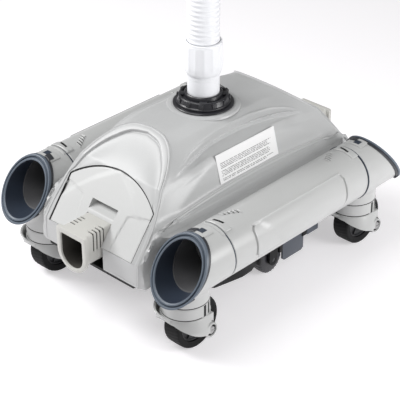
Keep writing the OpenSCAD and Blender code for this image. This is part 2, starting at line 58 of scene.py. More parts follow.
TUBE_LO, TUBE_HI = node_box("tube_right")
NUT_LO, NUT_HI = node_box("swivel_nut")
PIPE_LO, PIPE_HI = node_box("swivel_pipe")
HOSE_LO, HOSE_HI = node_box("hose_tube")
CUFF_LO, CUFF_HI = node_box("hose_end_cuff")
TYRE_LO, TYRE_HI = node_box("tyre_rf")
FLANGE_R = node_box("inlet_flange")[1][0]

TUBE_X = (TUBE_LO[0] + TUBE_HI[0]) / 2
TUBE_R = (TUBE_HI[0] - TUBE_LO[0]) / 2
TUBE_Z = TUBE_LO[2] + TUBE_R
TUBE_HALF = TUBE_HI[1]
BORE_R = TUBE_R - 4.5
ELBOW_START = TUBE_HALF + 2.2

TRAIL = 10.0                 # the axle stands this far behind the caster's upright axis
TYRE_MID = (TYRE_LO + TYRE_HI) / 2
WHEEL_R = (TYRE_HI[2] - TYRE_LO[2]) / 2
CASTER_X = TYRE_MID[0]
CASTER_Y = -(TYRE_MID[1] - TRAIL)

# ---------- places the CAD source sets ----------

MOUTH_Y = 195.0
MOUTH_LEAN = math.radians(34.4)
MOUTH_DEPTH = 26.0           # from the mouth's plane to the end of its liner
CUP_R = 31.0
CUP_TOP = 76.5
CUP_WALL = 2.4
FLANGE_Z = 57.0              # the cup's skirt flares out below this height
PIPE_R = 21.2
FLAP_PIN_Z = 58.0

FRONT_Y = 210.0
DOOR_LOW = 121.0
DOOR_SHOULDER = 174.0
DOOR_CROWN = 198.0
DOOR_HALF = 75.0
DOOR_ARC_R = (DOOR_HALF ** 2 + (DOOR_CROWN - DOOR_SHOULDER) ** 2) / (2 * (DOOR_CROWN - DOOR_SHOULDER))
SEAM = 1.1                   # gap round the drawer front
NOTCH_HALF = 24.5            # half of the face's cut-out below the nozzle
NECK_HALF = 22.0
NECK_TOP = 146.0
NECK_LOW = 115.8             # centre of the neck's round underside
NECK_SLOTS = (204.4, 210.2, 216.0, 221.8)
LIP_Y = 240.0
SLOPE_TOP_Y = 152.0
CREST_Y = 98.0
ROOF_Z = 238.0
BASE_Z = 88.0
FLANK_X = 112.0              # the hull's widest place, over the tubes

CORNERS = {"rf": (1, -1), "lf": (-1, -1), "rb": (1, 1), "lb": (-1, 1)}


# ---------- outlines and curves ----------

def fillet(points, radius, steps=4):
    """Rounds the corners of a closed 2-D outline. radius is one number or one for each corner."""
    pts = [np.array(p, float) for p in points]
    n = len(pts)
    radii = radius if hasattr(radius, "__len__") else [radius] * n
    out = []
    for i, p in enumerate(pts):
        if radii[i] <= 0:
            out.append(p)
            continue
        a, b = pts[i - 1] - p, pts[(i + 1) % n] - p
        la, lb = np.linalg.norm(a), np.linalg.norm(b)
        a, b = a / la, b / lb
        half = math.acos(max(-1, min(1, float(a @ b)))) / 2
        if half > math.radians(88):
            out.append(p)
            continue
        cut = min(radii[i] / math.tan(half), 0.48 * la, 0.48 * lb)
        s, e = p + a * cut, p + b * cut
        for k in range(steps + 1):
            t = k / steps
            out.append((1 - t) ** 2 * s + 2 * t * (1 - t) * p + t * t * e)
    return np.array(out)


def rectangle(x0, x1, y0, y1):
    return [(x0, y0), (x1, y0), (x1, y1), (x0, y1)]


def arc(radius, start, end, count, centre=(0.0, 0.0)):
    """Evenly spaced points from one angle to another, in degrees."""
    a = np.radians(np.linspace(start, end, count))
    return np.stack([centre[0] + radius * np.cos(a), centre[1] + radius * np.sin(a)], axis=1)


def circle(radius, count=24, centre=(0.0, 0.0)):
    return arc(radius, 0, 360, count + 1, centre)[:-1]


def keyed(points, counts):
    """A polyline sampled with its own number of steps between each pair of key points."""
    p = [np.array(q, float) for q in points]
    out = [p[0]]
    for a, b, n in zip(p[:-1], p[1:], counts):
        out += [a + (b - a) * k / n for k in range(1, n + 1)]
    return np.array(out)


def curved(points, counts):
    """Like keyed, but bending smoothly through the key points."""
    p = np.array(points, float)
    p = np.vstack([2 * p[0] - p[1], p, 2 * p[-1] - p[-2]])
    out = [p[1]]
    for i, n in enumerate(counts):
        a, b, c, d = p[i:i + 4]
        for k in range(1, n + 1):
            t = k / n
            square, cube = 2 * a - 5 * b + 4 * c - d, 3 * b - 3 * c + d - a
            out.append(0.5 * (2 * b + (c - a) * t + square * t * t + cube * t ** 3))
    return np.array(out)


def softened(line, passes):
    """Rounds a sampled line's corners; its ends stay."""
    line = line.copy()
    for _ in range(passes):
        line[1:-1] = (line[:-2] + 2 * line[1:-1] + line[2:]) / 4
    return line


def smoothstep(x, lo=0.0, hi=1.0):
    t = np.clip((np.asarray(x, float) - lo) / (hi - lo), 0, 1)
    return t * t * (3 - 2 * t)


def bump(x, at, width):
    """A smooth hill of height 1."""
    return np.exp(-((x - at) / width) ** 2)


# ---------- lumps: closed pairs of points and faces ----------

def grid_faces(nu, nv, wrap_u=False, wrap_v=False):
    ua = np.arange(nu if wrap_u else nu - 1)
    va = np.arange(nv if wrap_v else nv - 1)
    u, v = np.meshgrid(ua, va, indexing="ij")
    u, v = u.ravel(), v.ravel()
    u1, v1 = (u + 1) % nu, (v + 1) % nv
    return list(zip(u * nv + v, u1 * nv + v, u1 * nv + v1, u * nv + v1))


def hoop(grid):
    """Ring from an (nu, nv, 3) grid that wraps both ways."""
    return grid.reshape(-1, 3), grid_faces(*grid.shape[:2], True, True)


def capped(grid):
    """Bar from an (nu, nv, 3) grid whose outline wraps in v, with flat ends."""
    nu, nv = grid.shape[:2]
    ends = [tuple(range(nv)), tuple((nu - 1) * nv + k for k in reversed(range(nv)))]
    return grid.reshape(-1, 3), grid_faces(nu, nv, False, True) + ends


def ring_solid(outer, inner):
    """Open tube with thickness, between two grids that wrap in u."""
    return hoop(np.concatenate([outer, inner[:, ::-1]], axis=1))


def slab_solid(outer, inner):
    """Plate between two grids that don't wrap."""
    nu, nv = outer.shape[:2]
    loop = np.concatenate([outer, inner[:, ::-1]], axis=1)
    faces = grid_faces(nu, 2 * nv, False, True)
    ring = 2 * nv
    for row in (0, nu - 1):
        for k in range(nv - 1):
            a = row * ring + k
            c = row * ring + ring - 2 - k
            faces.append((a, a + 1, c, c + 1))
    return loop.reshape(-1, 3), faces


def revolve(profile, n=72):
    """A closed (radius, height) outline turned about Z."""
    r, z = np.asarray(profile, float).T
    ang = np.arange(n) / n * 2 * math.pi
    return hoop(np.stack([np.outer(np.cos(ang), r), np.outer(np.sin(ang), r),
                          np.broadcast_to(z, (n, len(z)))], axis=2))


def wheel_about_x(profile, cut):
    """A (radius, x) outline turned about X; cut (turns, points) is taken off the radius."""
    r = profile[:, 0] - cut
    ang = np.arange(len(cut))[:, None] / len(cut) * 2 * math.pi
    return hoop(np.stack([np.broadcast_to(profile[:, 1], r.shape), r * np.cos(ang), r * np.sin(ang)], axis=2))


def prism(outline, z0, z1, edge=0.6, steps=2):
    """A 2-D outline standing along Z, with eased edges."""
    line = np.asarray(outline, float)
    mid = line.mean(axis=0)
    size = np.linalg.norm(line - mid, axis=1).mean()
    low, high = [], []
    for k in range(steps + 1):
        a = k / steps * math.pi / 2
        shrink, lift = 1 - edge * (1 - math.sin(a)) / size, edge * (1 - math.cos(a))
        low.append((shrink, z0 + lift))
        high.append((shrink, z1 - lift))
    rows = low + high[::-1]
    pts = np.array([[[*(mid + (p - mid) * s), z] for s, z in rows] for p in line])
    nu, nv = pts.shape[:2]
    faces = grid_faces(nu, nv, True, False)
    faces.append(tuple(i * nv for i in reversed(range(nu))))
    faces.append(tuple(i * nv + nv - 1 for i in range(nu)))
    return pts.reshape(-1, 3), faces


def brick(lo, hi, edge=0.5):
    """Box with eased edges between two corners."""
    lo, hi = np.array(lo, float), np.array(hi, float)
    w, h, tall = hi - lo
    edge = min(edge, 0.3 * w, 0.3 * h, 0.3 * tall)
    outline = fillet(rectangle(-w / 2, w / 2, -h / 2, h / 2), edge, 2)
    v, f = prism(outline, lo[2], hi[2], edge)
    return v + np.array([(lo[0] + hi[0]) / 2, (lo[1] + hi[1]) / 2, 0]), f


# ---------- moves ----------

def shift(x, y, z):
    return lambda v: v + np.array([x, y, z])


def mirror(x=1, y=1, z=1):
    return lambda v: v * np.array([x, y, z])


def about_z(degrees):
    c, s = math.cos(math.radians(degrees)), math.sin(math.radians(degrees))
    return lambda v: np.stack([v[:, 0] * c - v[:, 1] * s, v[:, 0] * s + v[:, 1] * c, v[:, 2]], axis=1)


def along_x(v):
    """Lays a lump that stands along Z down along X."""
    return np.stack([v[:, 2], v[:, 0], v[:, 1]], axis=1)


def to_corner(corner):
    """From the right front corner to another."""
    sx, sy = CORNERS[corner]
    return mirror(sx, -sy)


def to_end(rear):
    """From the front end to the rear one, by half a turn."""
    return mirror(-1, -1) if rear else mirror()


def end_name(rear):
    return "rear" if rear else "front"


# ---------- pieces ----------

def build(name, lump, material, body="hull", stands_for=None, sharp=38.0, merge=0.0):
    """Makes a mesh object with outward normals, riding on a CAD body; stands_for is the node it replaces."""
    verts, faces = lump
    mesh = bpy.data.meshes.new(name)
    mesh.from_pydata((np.asarray(verts, float) * MM).tolist(), [], [tuple(int(i) for i in f) for f in faces])
    bm = bmesh.new()
    bm.from_mesh(mesh)
    if merge:
        bmesh.ops.remove_doubles(bm, verts=bm.verts, dist=merge * MM)
        bmesh.ops.dissolve_degenerate(bm, edges=bm.edges, dist=0.001 * MM)
    bmesh.ops.recalc_face_normals(bm, faces=bm.faces)
    bm.to_mesh(mesh)
    bm.free()
    smooth(mesh, sharp)
    mesh.materials.append(material)
    ob = bpy.data.objects.new(name, mesh)
    bpy.context.scene.collection.objects.link(ob)
    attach(ob, body)
    if stands_for:
        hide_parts(stands_for)
    return ob


def smooth(mesh, sharp):
    mesh.polygons.foreach_set("use_smooth", [True] * len(mesh.polygons))
    mesh.set_sharp_from_angle(angle=math.radians(sharp))


def thicken(ob, wall, sharp):
    """Gives an open skin its wall, inwards from its outer face, as final mesh."""
    middle = Vector((0, 0, 150 * MM))
    if sum(f.area * f.normal.dot(f.center - middle) for f in ob.data.polygons) < 0:
        ob.data.flip_normals()
    mod = ob.modifiers.new("wall", "SOLIDIFY")
    mod.thickness = wall * MM
    mod.offset = -1.0
    mod.use_rim = True
    bpy.context.view_layer.update()
    solid = bpy.data.meshes.new_from_object(ob.evaluated_get(bpy.context.evaluated_depsgraph_get()))
    ob.modifiers.clear()
    ob.data = solid
    smooth(solid, sharp)


class Parts:
    """Collects lumps into one piece."""

    def __init__(self, *lumps):
        self.verts, self.faces, self.count = [], [], 0
        for lump in lumps:
            self.add(lump)

    def add(self, lump, *moves):
        verts, faces = lump
        for move in moves:
            verts = move(verts)
        self.verts.append(np.asarray(verts, float))
        self.faces += [tuple(i + self.count for i in f) for f in faces]
        self.count += len(verts)
        return self

    def moved(self, move):
        self.verts = [move(v) for v in self.verts]
        return self

    def build(self, name, material, body="hull", **more):
        return build(name, (np.vstack(self.verts), self.faces), material, body, **more)


# ---------- materials ----------

def principled(mat, **values):
    """Sets inputs of a material's main shader, named with _ for each space."""
    shader = mat.node_tree.nodes["Principled BSDF"]
    for name, value in values.items():
        shader.inputs[name.replace("_", " ")].default_value = value
    return shader


def plastic(name, colour, rough=0.4, grain=0.03, grain_scale=1400.0, mottle=0.014, coat=0.0, spec=0.5):
    """Moulded plastic: fine grain, slow colour drift and uneven gloss, all in object coordinates."""
    mat = bpy.data.materials.new(name)
    mat.use_nodes = True
    nodes, links = mat.node_tree.nodes, mat.node_tree.links
    bsdf = principled(mat, Specular_IOR_Level=spec, Coat_Weight=coat, Coat_Roughness=0.25)
    where = nodes.new("ShaderNodeTexCoord")

    def noise(scale, detail):
        node = nodes.new("ShaderNodeTexNoise")
        node.inputs["Scale"].default_value = scale
        node.inputs["Detail"].default_value = detail
        node.inputs["Roughness"].default_value = 0.55
        links.new(where.outputs["Object"], node.inputs["Vector"])
        return node.outputs["Fac"]

    def ramp(source, middle, spread):
        """Maps a noise's usual range to a value that strays from its middle."""
        node = nodes.new("ShaderNodeMapRange")
        node.inputs["From Min"].default_value = 0.3
        node.inputs["From Max"].default_value = 0.7
        node.inputs["To Min"].default_value = middle - spread
        node.inputs["To Max"].default_value = middle + spread
        links.new(source, node.inputs["Value"])
        return node.outputs["Result"]

    def relief(source, strength, distance):
        node = nodes.new("ShaderNodeBump")
        node.inputs["Strength"].default_value = strength
        node.inputs["Distance"].default_value = distance * MM
        links.new(source, node.inputs["Height"])
        return node

    drift = ramp(noise(9.0, 4.0), 1, mottle)
    speck = ramp(noise(grain_scale * 0.35, 3.0), 1, mottle * 0.6)
    both = nodes.new("ShaderNodeMath")
    both.operation = "MULTIPLY"
    links.new(drift, both.inputs[0])
    links.new(speck, both.inputs[1])
    tint = nodes.new("ShaderNodeVectorMath")
    tint.operation = "SCALE"
    tint.inputs[0].default_value = colour
    links.new(both.outputs[0], tint.inputs["Scale"])
    links.new(tint.outputs["Vector"], bsdf.inputs["Base Color"])
    links.new(ramp(noise(40.0, 5.0), rough, 0.012), bsdf.inputs["Roughness"])
    fine = relief(noise(grain_scale, 2.0), grain, 0.4)
    swell = relief(noise(18.0, 2.0), 0.01, 4)
    links.new(swell.outputs["Normal"], fine.inputs["Normal"])
    links.new(fine.outputs["Normal"], bsdf.inputs["Normal"])
    return mat


def metal(name, colour, rough=0.3):
    mat = plastic(name, colour, rough, 0.05, 900.0, 0.05)
    principled(mat, Metallic=1.0)
    return mat


def label_material(name):
    """White sticker printed with plain grey rules of uneven length."""
    mat = plastic(name, (0.86, 0.86, 0.86), 0.45, 0.01)
    nodes, links = mat.node_tree.nodes, mat.node_tree.links
    base = principled(mat).inputs["Base Color"]
    paper = base.links[0].from_socket
    lo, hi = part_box("label_plate")
    where = nodes.new("ShaderNodeTexCoord")
    split = nodes.new("ShaderNodeSeparateXYZ")
    links.new(where.outputs["Object"], split.inputs[0])

    def calc(operation, *values):
        node = nodes.new("ShaderNodeMath")
        node.operation = operation
        for k, value in enumerate(values):
            if isinstance(value, (int, float)):
                node.inputs[k].default_value = value
            else:
                links.new(value, node.inputs[k])
        return node.outputs[0]

    down = calc("DIVIDE", calc("SUBTRACT", hi.z, split.outputs["Z"]), hi.z - lo.z)
    across = calc("DIVIDE", calc("SUBTRACT", split.outputs["Y"], lo.y), hi.y - lo.y)
    rows = calc("MULTIPLY", down, 19.0)
    row_no = calc("FLOOR", rows)
    line = calc("LESS_THAN", calc("FRACT", rows), 0.5)
    # each row ends at its own length, and short gaps break it
    cells = nodes.new("ShaderNodeCombineXYZ")
    links.new(row_no, cells.inputs[1])
    links.new(calc("MULTIPLY", across, 46.0), cells.inputs[0])
    gaps = nodes.new("ShaderNodeTexNoise")
    gaps.inputs["Scale"].default_value = 1.0
    gaps.inputs["Detail"].default_value = 1.0
    links.new(cells.outputs[0], gaps.inputs["Vector"])
    dash = calc("GREATER_THAN", gaps.outputs["Fac"], 0.44)
    ends = nodes.new("ShaderNodeTexNoise")
    ends.noise_dimensions = "1D"
    ends.inputs["Scale"].default_value = 0.73
    links.new(row_no, ends.inputs["W"])
    row_end = calc("ADD", calc("MULTIPLY", ends.outputs["Fac"], 0.5), 0.62)
    # blank rows part the print into paragraphs
    paragraph = calc("FRACT", calc("ADD", calc("DIVIDE", row_no, 5.0), 0.11))
    ink = line
    for limit in (dash, calc("LESS_THAN", across, row_end), calc("GREATER_THAN", across, 0.05),
                  calc("LESS_THAN", down, 0.95), calc("GREATER_THAN", down, 0.26),
                  calc("GREATER_THAN", paragraph, 0.3)):
        ink = calc("MULTIPLY", ink, limit)
    mix = nodes.new("ShaderNodeMix")
    mix.data_type = "RGBA"
    links.new(calc("MULTIPLY", ink, 0.75), mix.inputs["Factor"])
    links.new(paper, mix.inputs[6])
    mix.inputs[7].default_value = (0.05, 0.05, 0.055, 1)
    links.new(mix.outputs[2], base)
    return mat


SHELL = plastic("shell_plastic", (0.5, 0.505, 0.505), 0.35, 0.04)
TUBE = plastic("tube_plastic", (0.5, 0.505, 0.5), 0.31, 0.03)
DOOR = plastic("door_plastic", (0.6, 0.605, 0.6), 0.42, 0.04)
WARM = plastic("nozzle_plastic", (0.58, 0.575, 0.545), 0.5, 0.05)
SLATE = plastic("slate_plastic", (0.115, 0.14, 0.175), 0.36, 0.04)
# painted shade: the dark colour of the sheet inside the nozzles' bores
SHADE = plastic("painted_bore_shade", (0.06, 0.056, 0.05), 0.5, 0.04)
FLAP = plastic("flap_plastic", (0.07, 0.08, 0.1), 0.4, 0.05)
DEEP = plastic("slate_dark", (0.03, 0.04, 0.06), 0.4, 0.03)
SLEEVE = plastic("sleeve_grey", (0.11, 0.11, 0.115), 0.42, 0.03)
CHARCOAL = plastic("charcoal_plastic", (0.035, 0.037, 0.043), 0.42, 0.04)
# black plastic of the black parts, and also the painted shade put into slots, seams and recesses
BLACK_AND_SHADE = plastic("black_plastic", (0.004, 0.004, 0.0045), 0.45, 0.04, spec=0.25)
SATIN_BLACK = plastic("satin_black", (0.02, 0.02, 0.024), 0.3, 0.03, coat=0.2)
HUB = plastic("hub_plastic", (0.03, 0.031, 0.034), 0.45, 0.05)
RUBBER = plastic("tyre_rubber", (0.004, 0.004, 0.0045), 0.6, 0.12, 900.0, spec=0.22)
WHITE = plastic("white_plastic", (0.86, 0.87, 0.895), 0.38, 0.02)
STEEL = metal("steel", (0.45, 0.45, 0.45), 0.34)
LABEL = label_material("label_sticker")


# ---------- stage, lights and camera ----------

def stage():
    size = 30.0
    mesh = bpy.data.meshes.new("floor")
    corners = [(x, y, 0) for x, y in rectangle(-size, size, -size, size)]
    mesh.from_pydata(corners, [], [(0, 1, 2, 3)])
    floor = bpy.data.objects.new("floor", mesh)
    bpy.context.scene.collection.objects.link(floor)
    mat = bpy.data.materials.new("floor_white")
    mat.use_nodes = True
    principled(mat, Base_Color=(0.72, 0.71, 0.725, 1), Emission_Color=(1.0, 0.985, 1.0, 1),
               Emission_Strength=0.47, Roughness=0.9, Specular_IOR_Level=0.1)
    mesh.materials.append(mat)
    world = bpy.data.worlds.new("studio")
    bpy.context.scene.world = world
    world.use_nodes = True
    back = world.node_tree.nodes["Background"]
    back.inputs["Color"].default_value = (1.0, 1.0, 1.0, 1)
    back.inputs["Strength"].default_value = 0.21


def light(name, where, towards, size, power):
    """Square soft light."""
    data = bpy.data.lights.new(name, "AREA")
    data.shape = "RECTANGLE"
    data.size = data.size_y = size
    data.energy = power
    ob = bpy.data.objects.new(name, data)
    ob.location = where
    ob.rotation_mode = "QUATERNION"
    ob.rotation_quaternion = (Vector(towards) - Vector(where)).to_track_quat("-Z", "Y")
    bpy.context.scene.collection.objects.link(ob)


def lights():
    light("left_soft", (-1.3, -0.9, 1.5), (0, -0.05, 0.12), 0.9, 29.0)
    light("right_soft", (1.1, 0.35, 0.5), (0.1, 0, 0.12), 0.5, 8.2)
    light("front_soft", (0.0, -0.6, 1.2), (0, -0.1, 0.12), 0.6, 5.2)


def camera():
    """The photo's view, as fitted to the picture."""
    azimuth, elevation, distance = math.radians(43.3), math.radians(30.8), 1.9255
    aim = Vector((0, 0, 0.1))
    back = Vector((math.sin(azimuth) * math.cos(elevation), -math.cos(azimuth) * math.cos(elevation),
                   math.sin(elevation)))
    data = bpy.data.cameras.new("camera")
    data.sensor_width = 36.0
    data.lens = 127.56
    data.shift_x = -0.0086
    data.shift_y = -0.0178
    data.clip_start, data.clip_end = 0.05, 20.0
    cam = bpy.data.objects.new("camera", data)
    cam.location = aim + back * distance
    cam.rotation_mode = "QUATERNION"
    cam.rotation_quaternion = (-back).to_track_quat("-Z", "Y")
    bpy.context.scene.collection.objects.link(cam)
    bpy.context.scene.camera = cam


# ---------- hose swivel ----------

def hose():
    """Ringed hose that stands taut on the swivel, with its end cuff."""
    pitch = 6.6
    z0, z1 = HOSE_LO[2], HOSE_HI[2]
    z = np.linspace(z0, z1, int((z1 - z0) / pitch) * 8 + 1)
    wave = np.cos((z - z0) / pitch * 2 * math.pi)
    outer = np.stack([20.85 + 0.65 * np.sign(wave) * np.abs(wave) ** 0.7, z], axis=1)
    inner = np.stack([18.7 + 0.25 * wave, z], axis=1)[::-1]
    tube = Parts(revolve(np.vstack([outer, inner]), 64)).build(
        "hose", WHITE, "hose_swivel", stands_for="hose_tube", sharp=70)
    lo, hi, r = CUFF_LO[2], CUFF_HI[2], CUFF_HI[0]
    bore, socket = 19.1, 21.7
    wall = [(socket, lo), (r - 1.6, lo), (r - 0.6, lo + 1.2), (r - 0.4, lo + 7), (r, lo + 8), (r, lo + 11),
            (r - 1.4, lo + 13), (r - 1.6, hi - 8), (r - 0.2, hi - 7), (r, hi - 6), (r, hi - 1.2),
            (r - 1.2, hi), (bore + 1.2, hi), (bore, hi - 1.2), (bore, lo + 9), (socket, lo + 8)]
    cuff = Parts(revolve(fillet(wall, 0.6, 2)))
    for k in range(16):
        cuff.add(brick((r - 2.2, -1.1, lo + 14), (r - 0.3, 1.1, hi - 9)), about_z(k * 22.5))
    cuff_piece = cuff.build("hose_cuff", WHITE, "hose_swivel", stands_for="hose_end_cuff")
    route = [(0, 0, float(v)) for v in np.linspace(z0, z1, 36) * MM]
    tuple(route[0])


def swivel():
    """The pipe that turns in the inlet, with its wide foot."""
    r, low, bore, foot = PIPE_R, PIPE_LO[2], 17, 28.7
    wall = [(bore, low), (foot - 0.3, low), (foot, low + 0.4), (foot, low + 7.6), (foot - 1.1, low + 9),
            (r + 1.5, low + 9.4), (r + 0.4, low + 11), (r, low + 14), (r, low + 40), (r + 0.3, low + 41),
            (r + 0.3, PIPE_HI[2]), (bore, PIPE_HI[2])]
    Parts(revolve(fillet(wall, 0.7, 3), 96)).build("swivel_neck", WHITE, "hose_swivel",
                                                   stands_for="swivel_pipe")


def nut():
    """Hose nut with broad flutes, a tapered foot and a plain rim."""
    flutes, per_flute = 14, 14
    # height above the foot, radius and how deep the flutes are there
    profile = np.array([(0, 22.6, 0), (0.8, 23.3, 0), (3, 24.1, 0), (6, 24.9, 0.2), (9, 25.5, 0.7),
                        (11, 25.9, 1), (12.5, 26.0, 1), (14, 26.0, 1), (20, 25.9, 1), (27, 25.7, 1),
                        (33, 25.5, 1), (38, 25.4, 1), (40, 25.3, 0.8), (41.2, 25.0, 0.2), (42, 24.4, 0),
                        (43, 24.2, 0), (44.4, 24.2, 0), (45, 23.6, 0)])
    rise = profile[:, 0] / 45 * (NUT_HI[2] - NUT_LO[2])
    n = flutes * per_flute
    turn = np.arange(n) / per_flute % 1.0
    # a panel dips in the middle and a thin raised bar parts it from the next
    dip = 0.75 * np.sin(np.clip((turn - 0.16) / 0.84, 0, 1) * math.pi) ** 0.5
    ang = (np.arange(n) / n * 2 * math.pi + 0.1)[:, None]
    outer_r = profile[:, 1] - dip[:, None] * profile[:, 2]
    inner_r = np.where(rise < 29.0, PIPE_R + 0.1, 21.8) + 0 * outer_r
    walls = [np.stack([np.cos(ang) * r, np.sin(ang) * r, NUT_LO[2] + rise + 0 * r], axis=2)
             for r in (outer_r, inner_r)]
    Parts(ring_solid(*walls)).build("hose_nut", WHITE, "hose_swivel", stands_for="swivel_nut", sharp=30)


# ---------- hull ----------

def face_y(z):
    """How far out the front face is at a height: upright below, then two leaning slopes."""
    return np.interp(z, [0, DOOR_LOW, DOOR_CROWN, ROOF_Z + 1, ROOF_Z + 20],
                     [FRONT_Y, FRONT_Y, SLOPE_TOP_Y, CREST_Y, CREST_Y - 25])


def on_face(x, z, depth):
    """Point on the front face (y < 0), sunk by a depth square to it."""
    z = np.asarray(z, float)
    slope = (face_y(z - 3.0) - face_y(z + 3.0)) / 6.0
    size = np.sqrt(1 + slope * slope)
    return np.stack([np.asarray(x, float) + 0 * z, -face_y(z) + depth / size, z - depth * slope / size],
                    axis=-1)


def section_lines():
    """The hull's half section at its middle, and the edge of its front face, with matching samples."""
    steps = [18, 14, 12, 10, 10, 8, 16, 12, 6, 8, 8, 8, 4, 8, 12]
    top, low = ROOF_Z, BASE_Z
    middle = [(0, top), (25, top - 0.6), (45, top - 3.3), (60, top - 10.5), (68, top - 16.5), (76, top - 25),
              (79, top - 36), (86, top - 63), (91, top - 69.5), (90.5, top - 74), (92, top - 81),
              (98, top - 86.5), (107, top - 88.5), (104, top - 95), (103, low + 37), (102, low)]
    edge = [(0, top + 1.2), (25, top - 1.0), (43, top - 8.0), (56, top - 18.5), (65, top - 29.5),
            (71.5, top - 41), (75.8, top - 51), (81.2, top - 68), (83.7, top - 78), (84.5, top - 83),
            (85.2, top - 89), (85.6, top - 96), (85.8, low + 47), (86, low + 40), (86, low + 27), (85, low)]
    return softened(keyed(middle, steps), 3), softened(curved(edge, steps), 16)


CREASE_ROW = 96              # the section's row at the crease above the tubes
CREASE_SAG = 0.00042


def hull_grid():
    """Right front quarter's points: rows run down the section, columns from the middle to the face's edge."""
    middle, edge = section_lines()
    n = len(middle)
    row = np.arange(n)
    reach = face_y(edge[:, 1])
    near = np.array([5.0, 3.9, 3.0, 2.2, 1.5, 0.8, 0.0])
    part = np.linspace(0, 1, 42)
    part = part * 0.8 + 0.2 * (1 - (1 - part) ** 3)
    a = np.concatenate([(reach - 6.2)[:, None] * part[None, :], reach[:, None] - near[None, :]], axis=1)
    sag = np.interp(row, [0, 72, 88, 100, 112, n], [0, 0, 1, 1, 0, 0])
    turn = np.where(row < CREASE_ROW, np.interp(row, [0, 72, CREASE_ROW], [60, 60, reach[CREASE_ROW] - 12]),
                    reach - 12)
    t = smoothstep((a - turn[:, None]) / (reach - turn)[:, None])
    x = middle[:, 0][:, None] * (1 - t) + edge[:, 0][:, None] * t
    z = (middle[:, 1][:, None] - CREASE_SAG * a * a * sag[:, None]) * (1 - t) + edge[:, 1][:, None] * t
    # the flank steps in past the tubes, to leave room for the caster posts
    room = np.interp(a, [0, 124, 133, 300], [FLANK_X, FLANK_X, 94, 94])
    lower = smoothstep(row, 130, 138)[:, None]
    x = np.minimum(x, FLANK_X * (1 - lower) + room * lower)
    # the ledge above the tubes runs out towards the face
    narrow = np.interp(a, [0, 150, 186, 300], [FLANK_X, FLANK_X, 91.5, 91.5])
    ledge = smoothstep(row, 98, 108)[:, None]
    x = np.minimum(x, FLANK_X * (1 - ledge) + narrow * ledge)
    # the face's lower corners flare out beside the mouths
    gap = reach[:, None] - a
    widest = np.interp(z, [88, 109, 142], [10.5, 6.5, 0.0])
    flare = widest * smoothstep(gap, 0.8, 7.0) * (1 - smoothstep(gap, 9.0, 17.0))
    x = np.maximum(x, np.minimum(x + flare, edge[:, 0][:, None] + widest))
    return np.stack([x, -a, z], axis=2), edge


def outward_normals(p):
    """Unit normals of a grid, pointing away from the hull's middle."""
    nrm = np.cross(np.gradient(p, axis=0), np.gradient(p, axis=1))
    nrm /= np.maximum(np.linalg.norm(nrm, axis=2, keepdims=True), 1e-9)
    return nrm * np.sign((nrm * (p - np.array([0, 0, 150.0]))).sum(axis=2, keepdims=True))


def crescent(p, side):
    """Height of the leaf-shaped double step on the shoulder, at the front (side -1) or rear (side 1)."""
    row = np.arange(p.shape[0])[:, None] * np.ones((1, p.shape[1]))
    y = side * np.abs(p[:, :, 1])
    at = [-124, -90, -60, -30, 0, 30, 60, 90, 118]
    upper = np.interp(y, at, [58, 47, 43, 40.5, 40, 40.5, 44, 50.5, 58])
    mid = np.interp(y, at, [58.5, 54.5, 50, 48, 48, 50, 54.5, 57.5, 60])
    low = np.interp(y, at, [60.5, 60, 58, 55.5, 55.5, 57, 60, 62, 61.5])
    fade = smoothstep(y, -126, -84) * (1 - smoothstep(y, 84, 120))
    beads = bump(row, upper, 1.1) * 1.5 + bump(row, mid, 1.1) * 1.7
    drop = smoothstep(row, mid + 0.2, mid + 2.4) * (1 - smoothstep(row, low - 1.0, low + 15))
    return fade * (beads - 6.5 * drop)


def door_edge(count_top, count_side, gap):
    """Half of the drawer opening's outline, from the crown to its lower corner."""
    ang = np.linspace(0, math.asin(DOOR_HALF / DOOR_ARC_R), count_top)
    r = DOOR_ARC_R + gap
    crown = np.stack([r * np.sin(ang), DOOR_CROWN - DOOR_ARC_R + r * np.cos(ang)], axis=1)
    side = [(DOOR_HALF + gap, z) for z in np.linspace(DOOR_SHOULDER, DOOR_LOW - gap, count_side)]
    return np.vstack([crown[:-1], side])


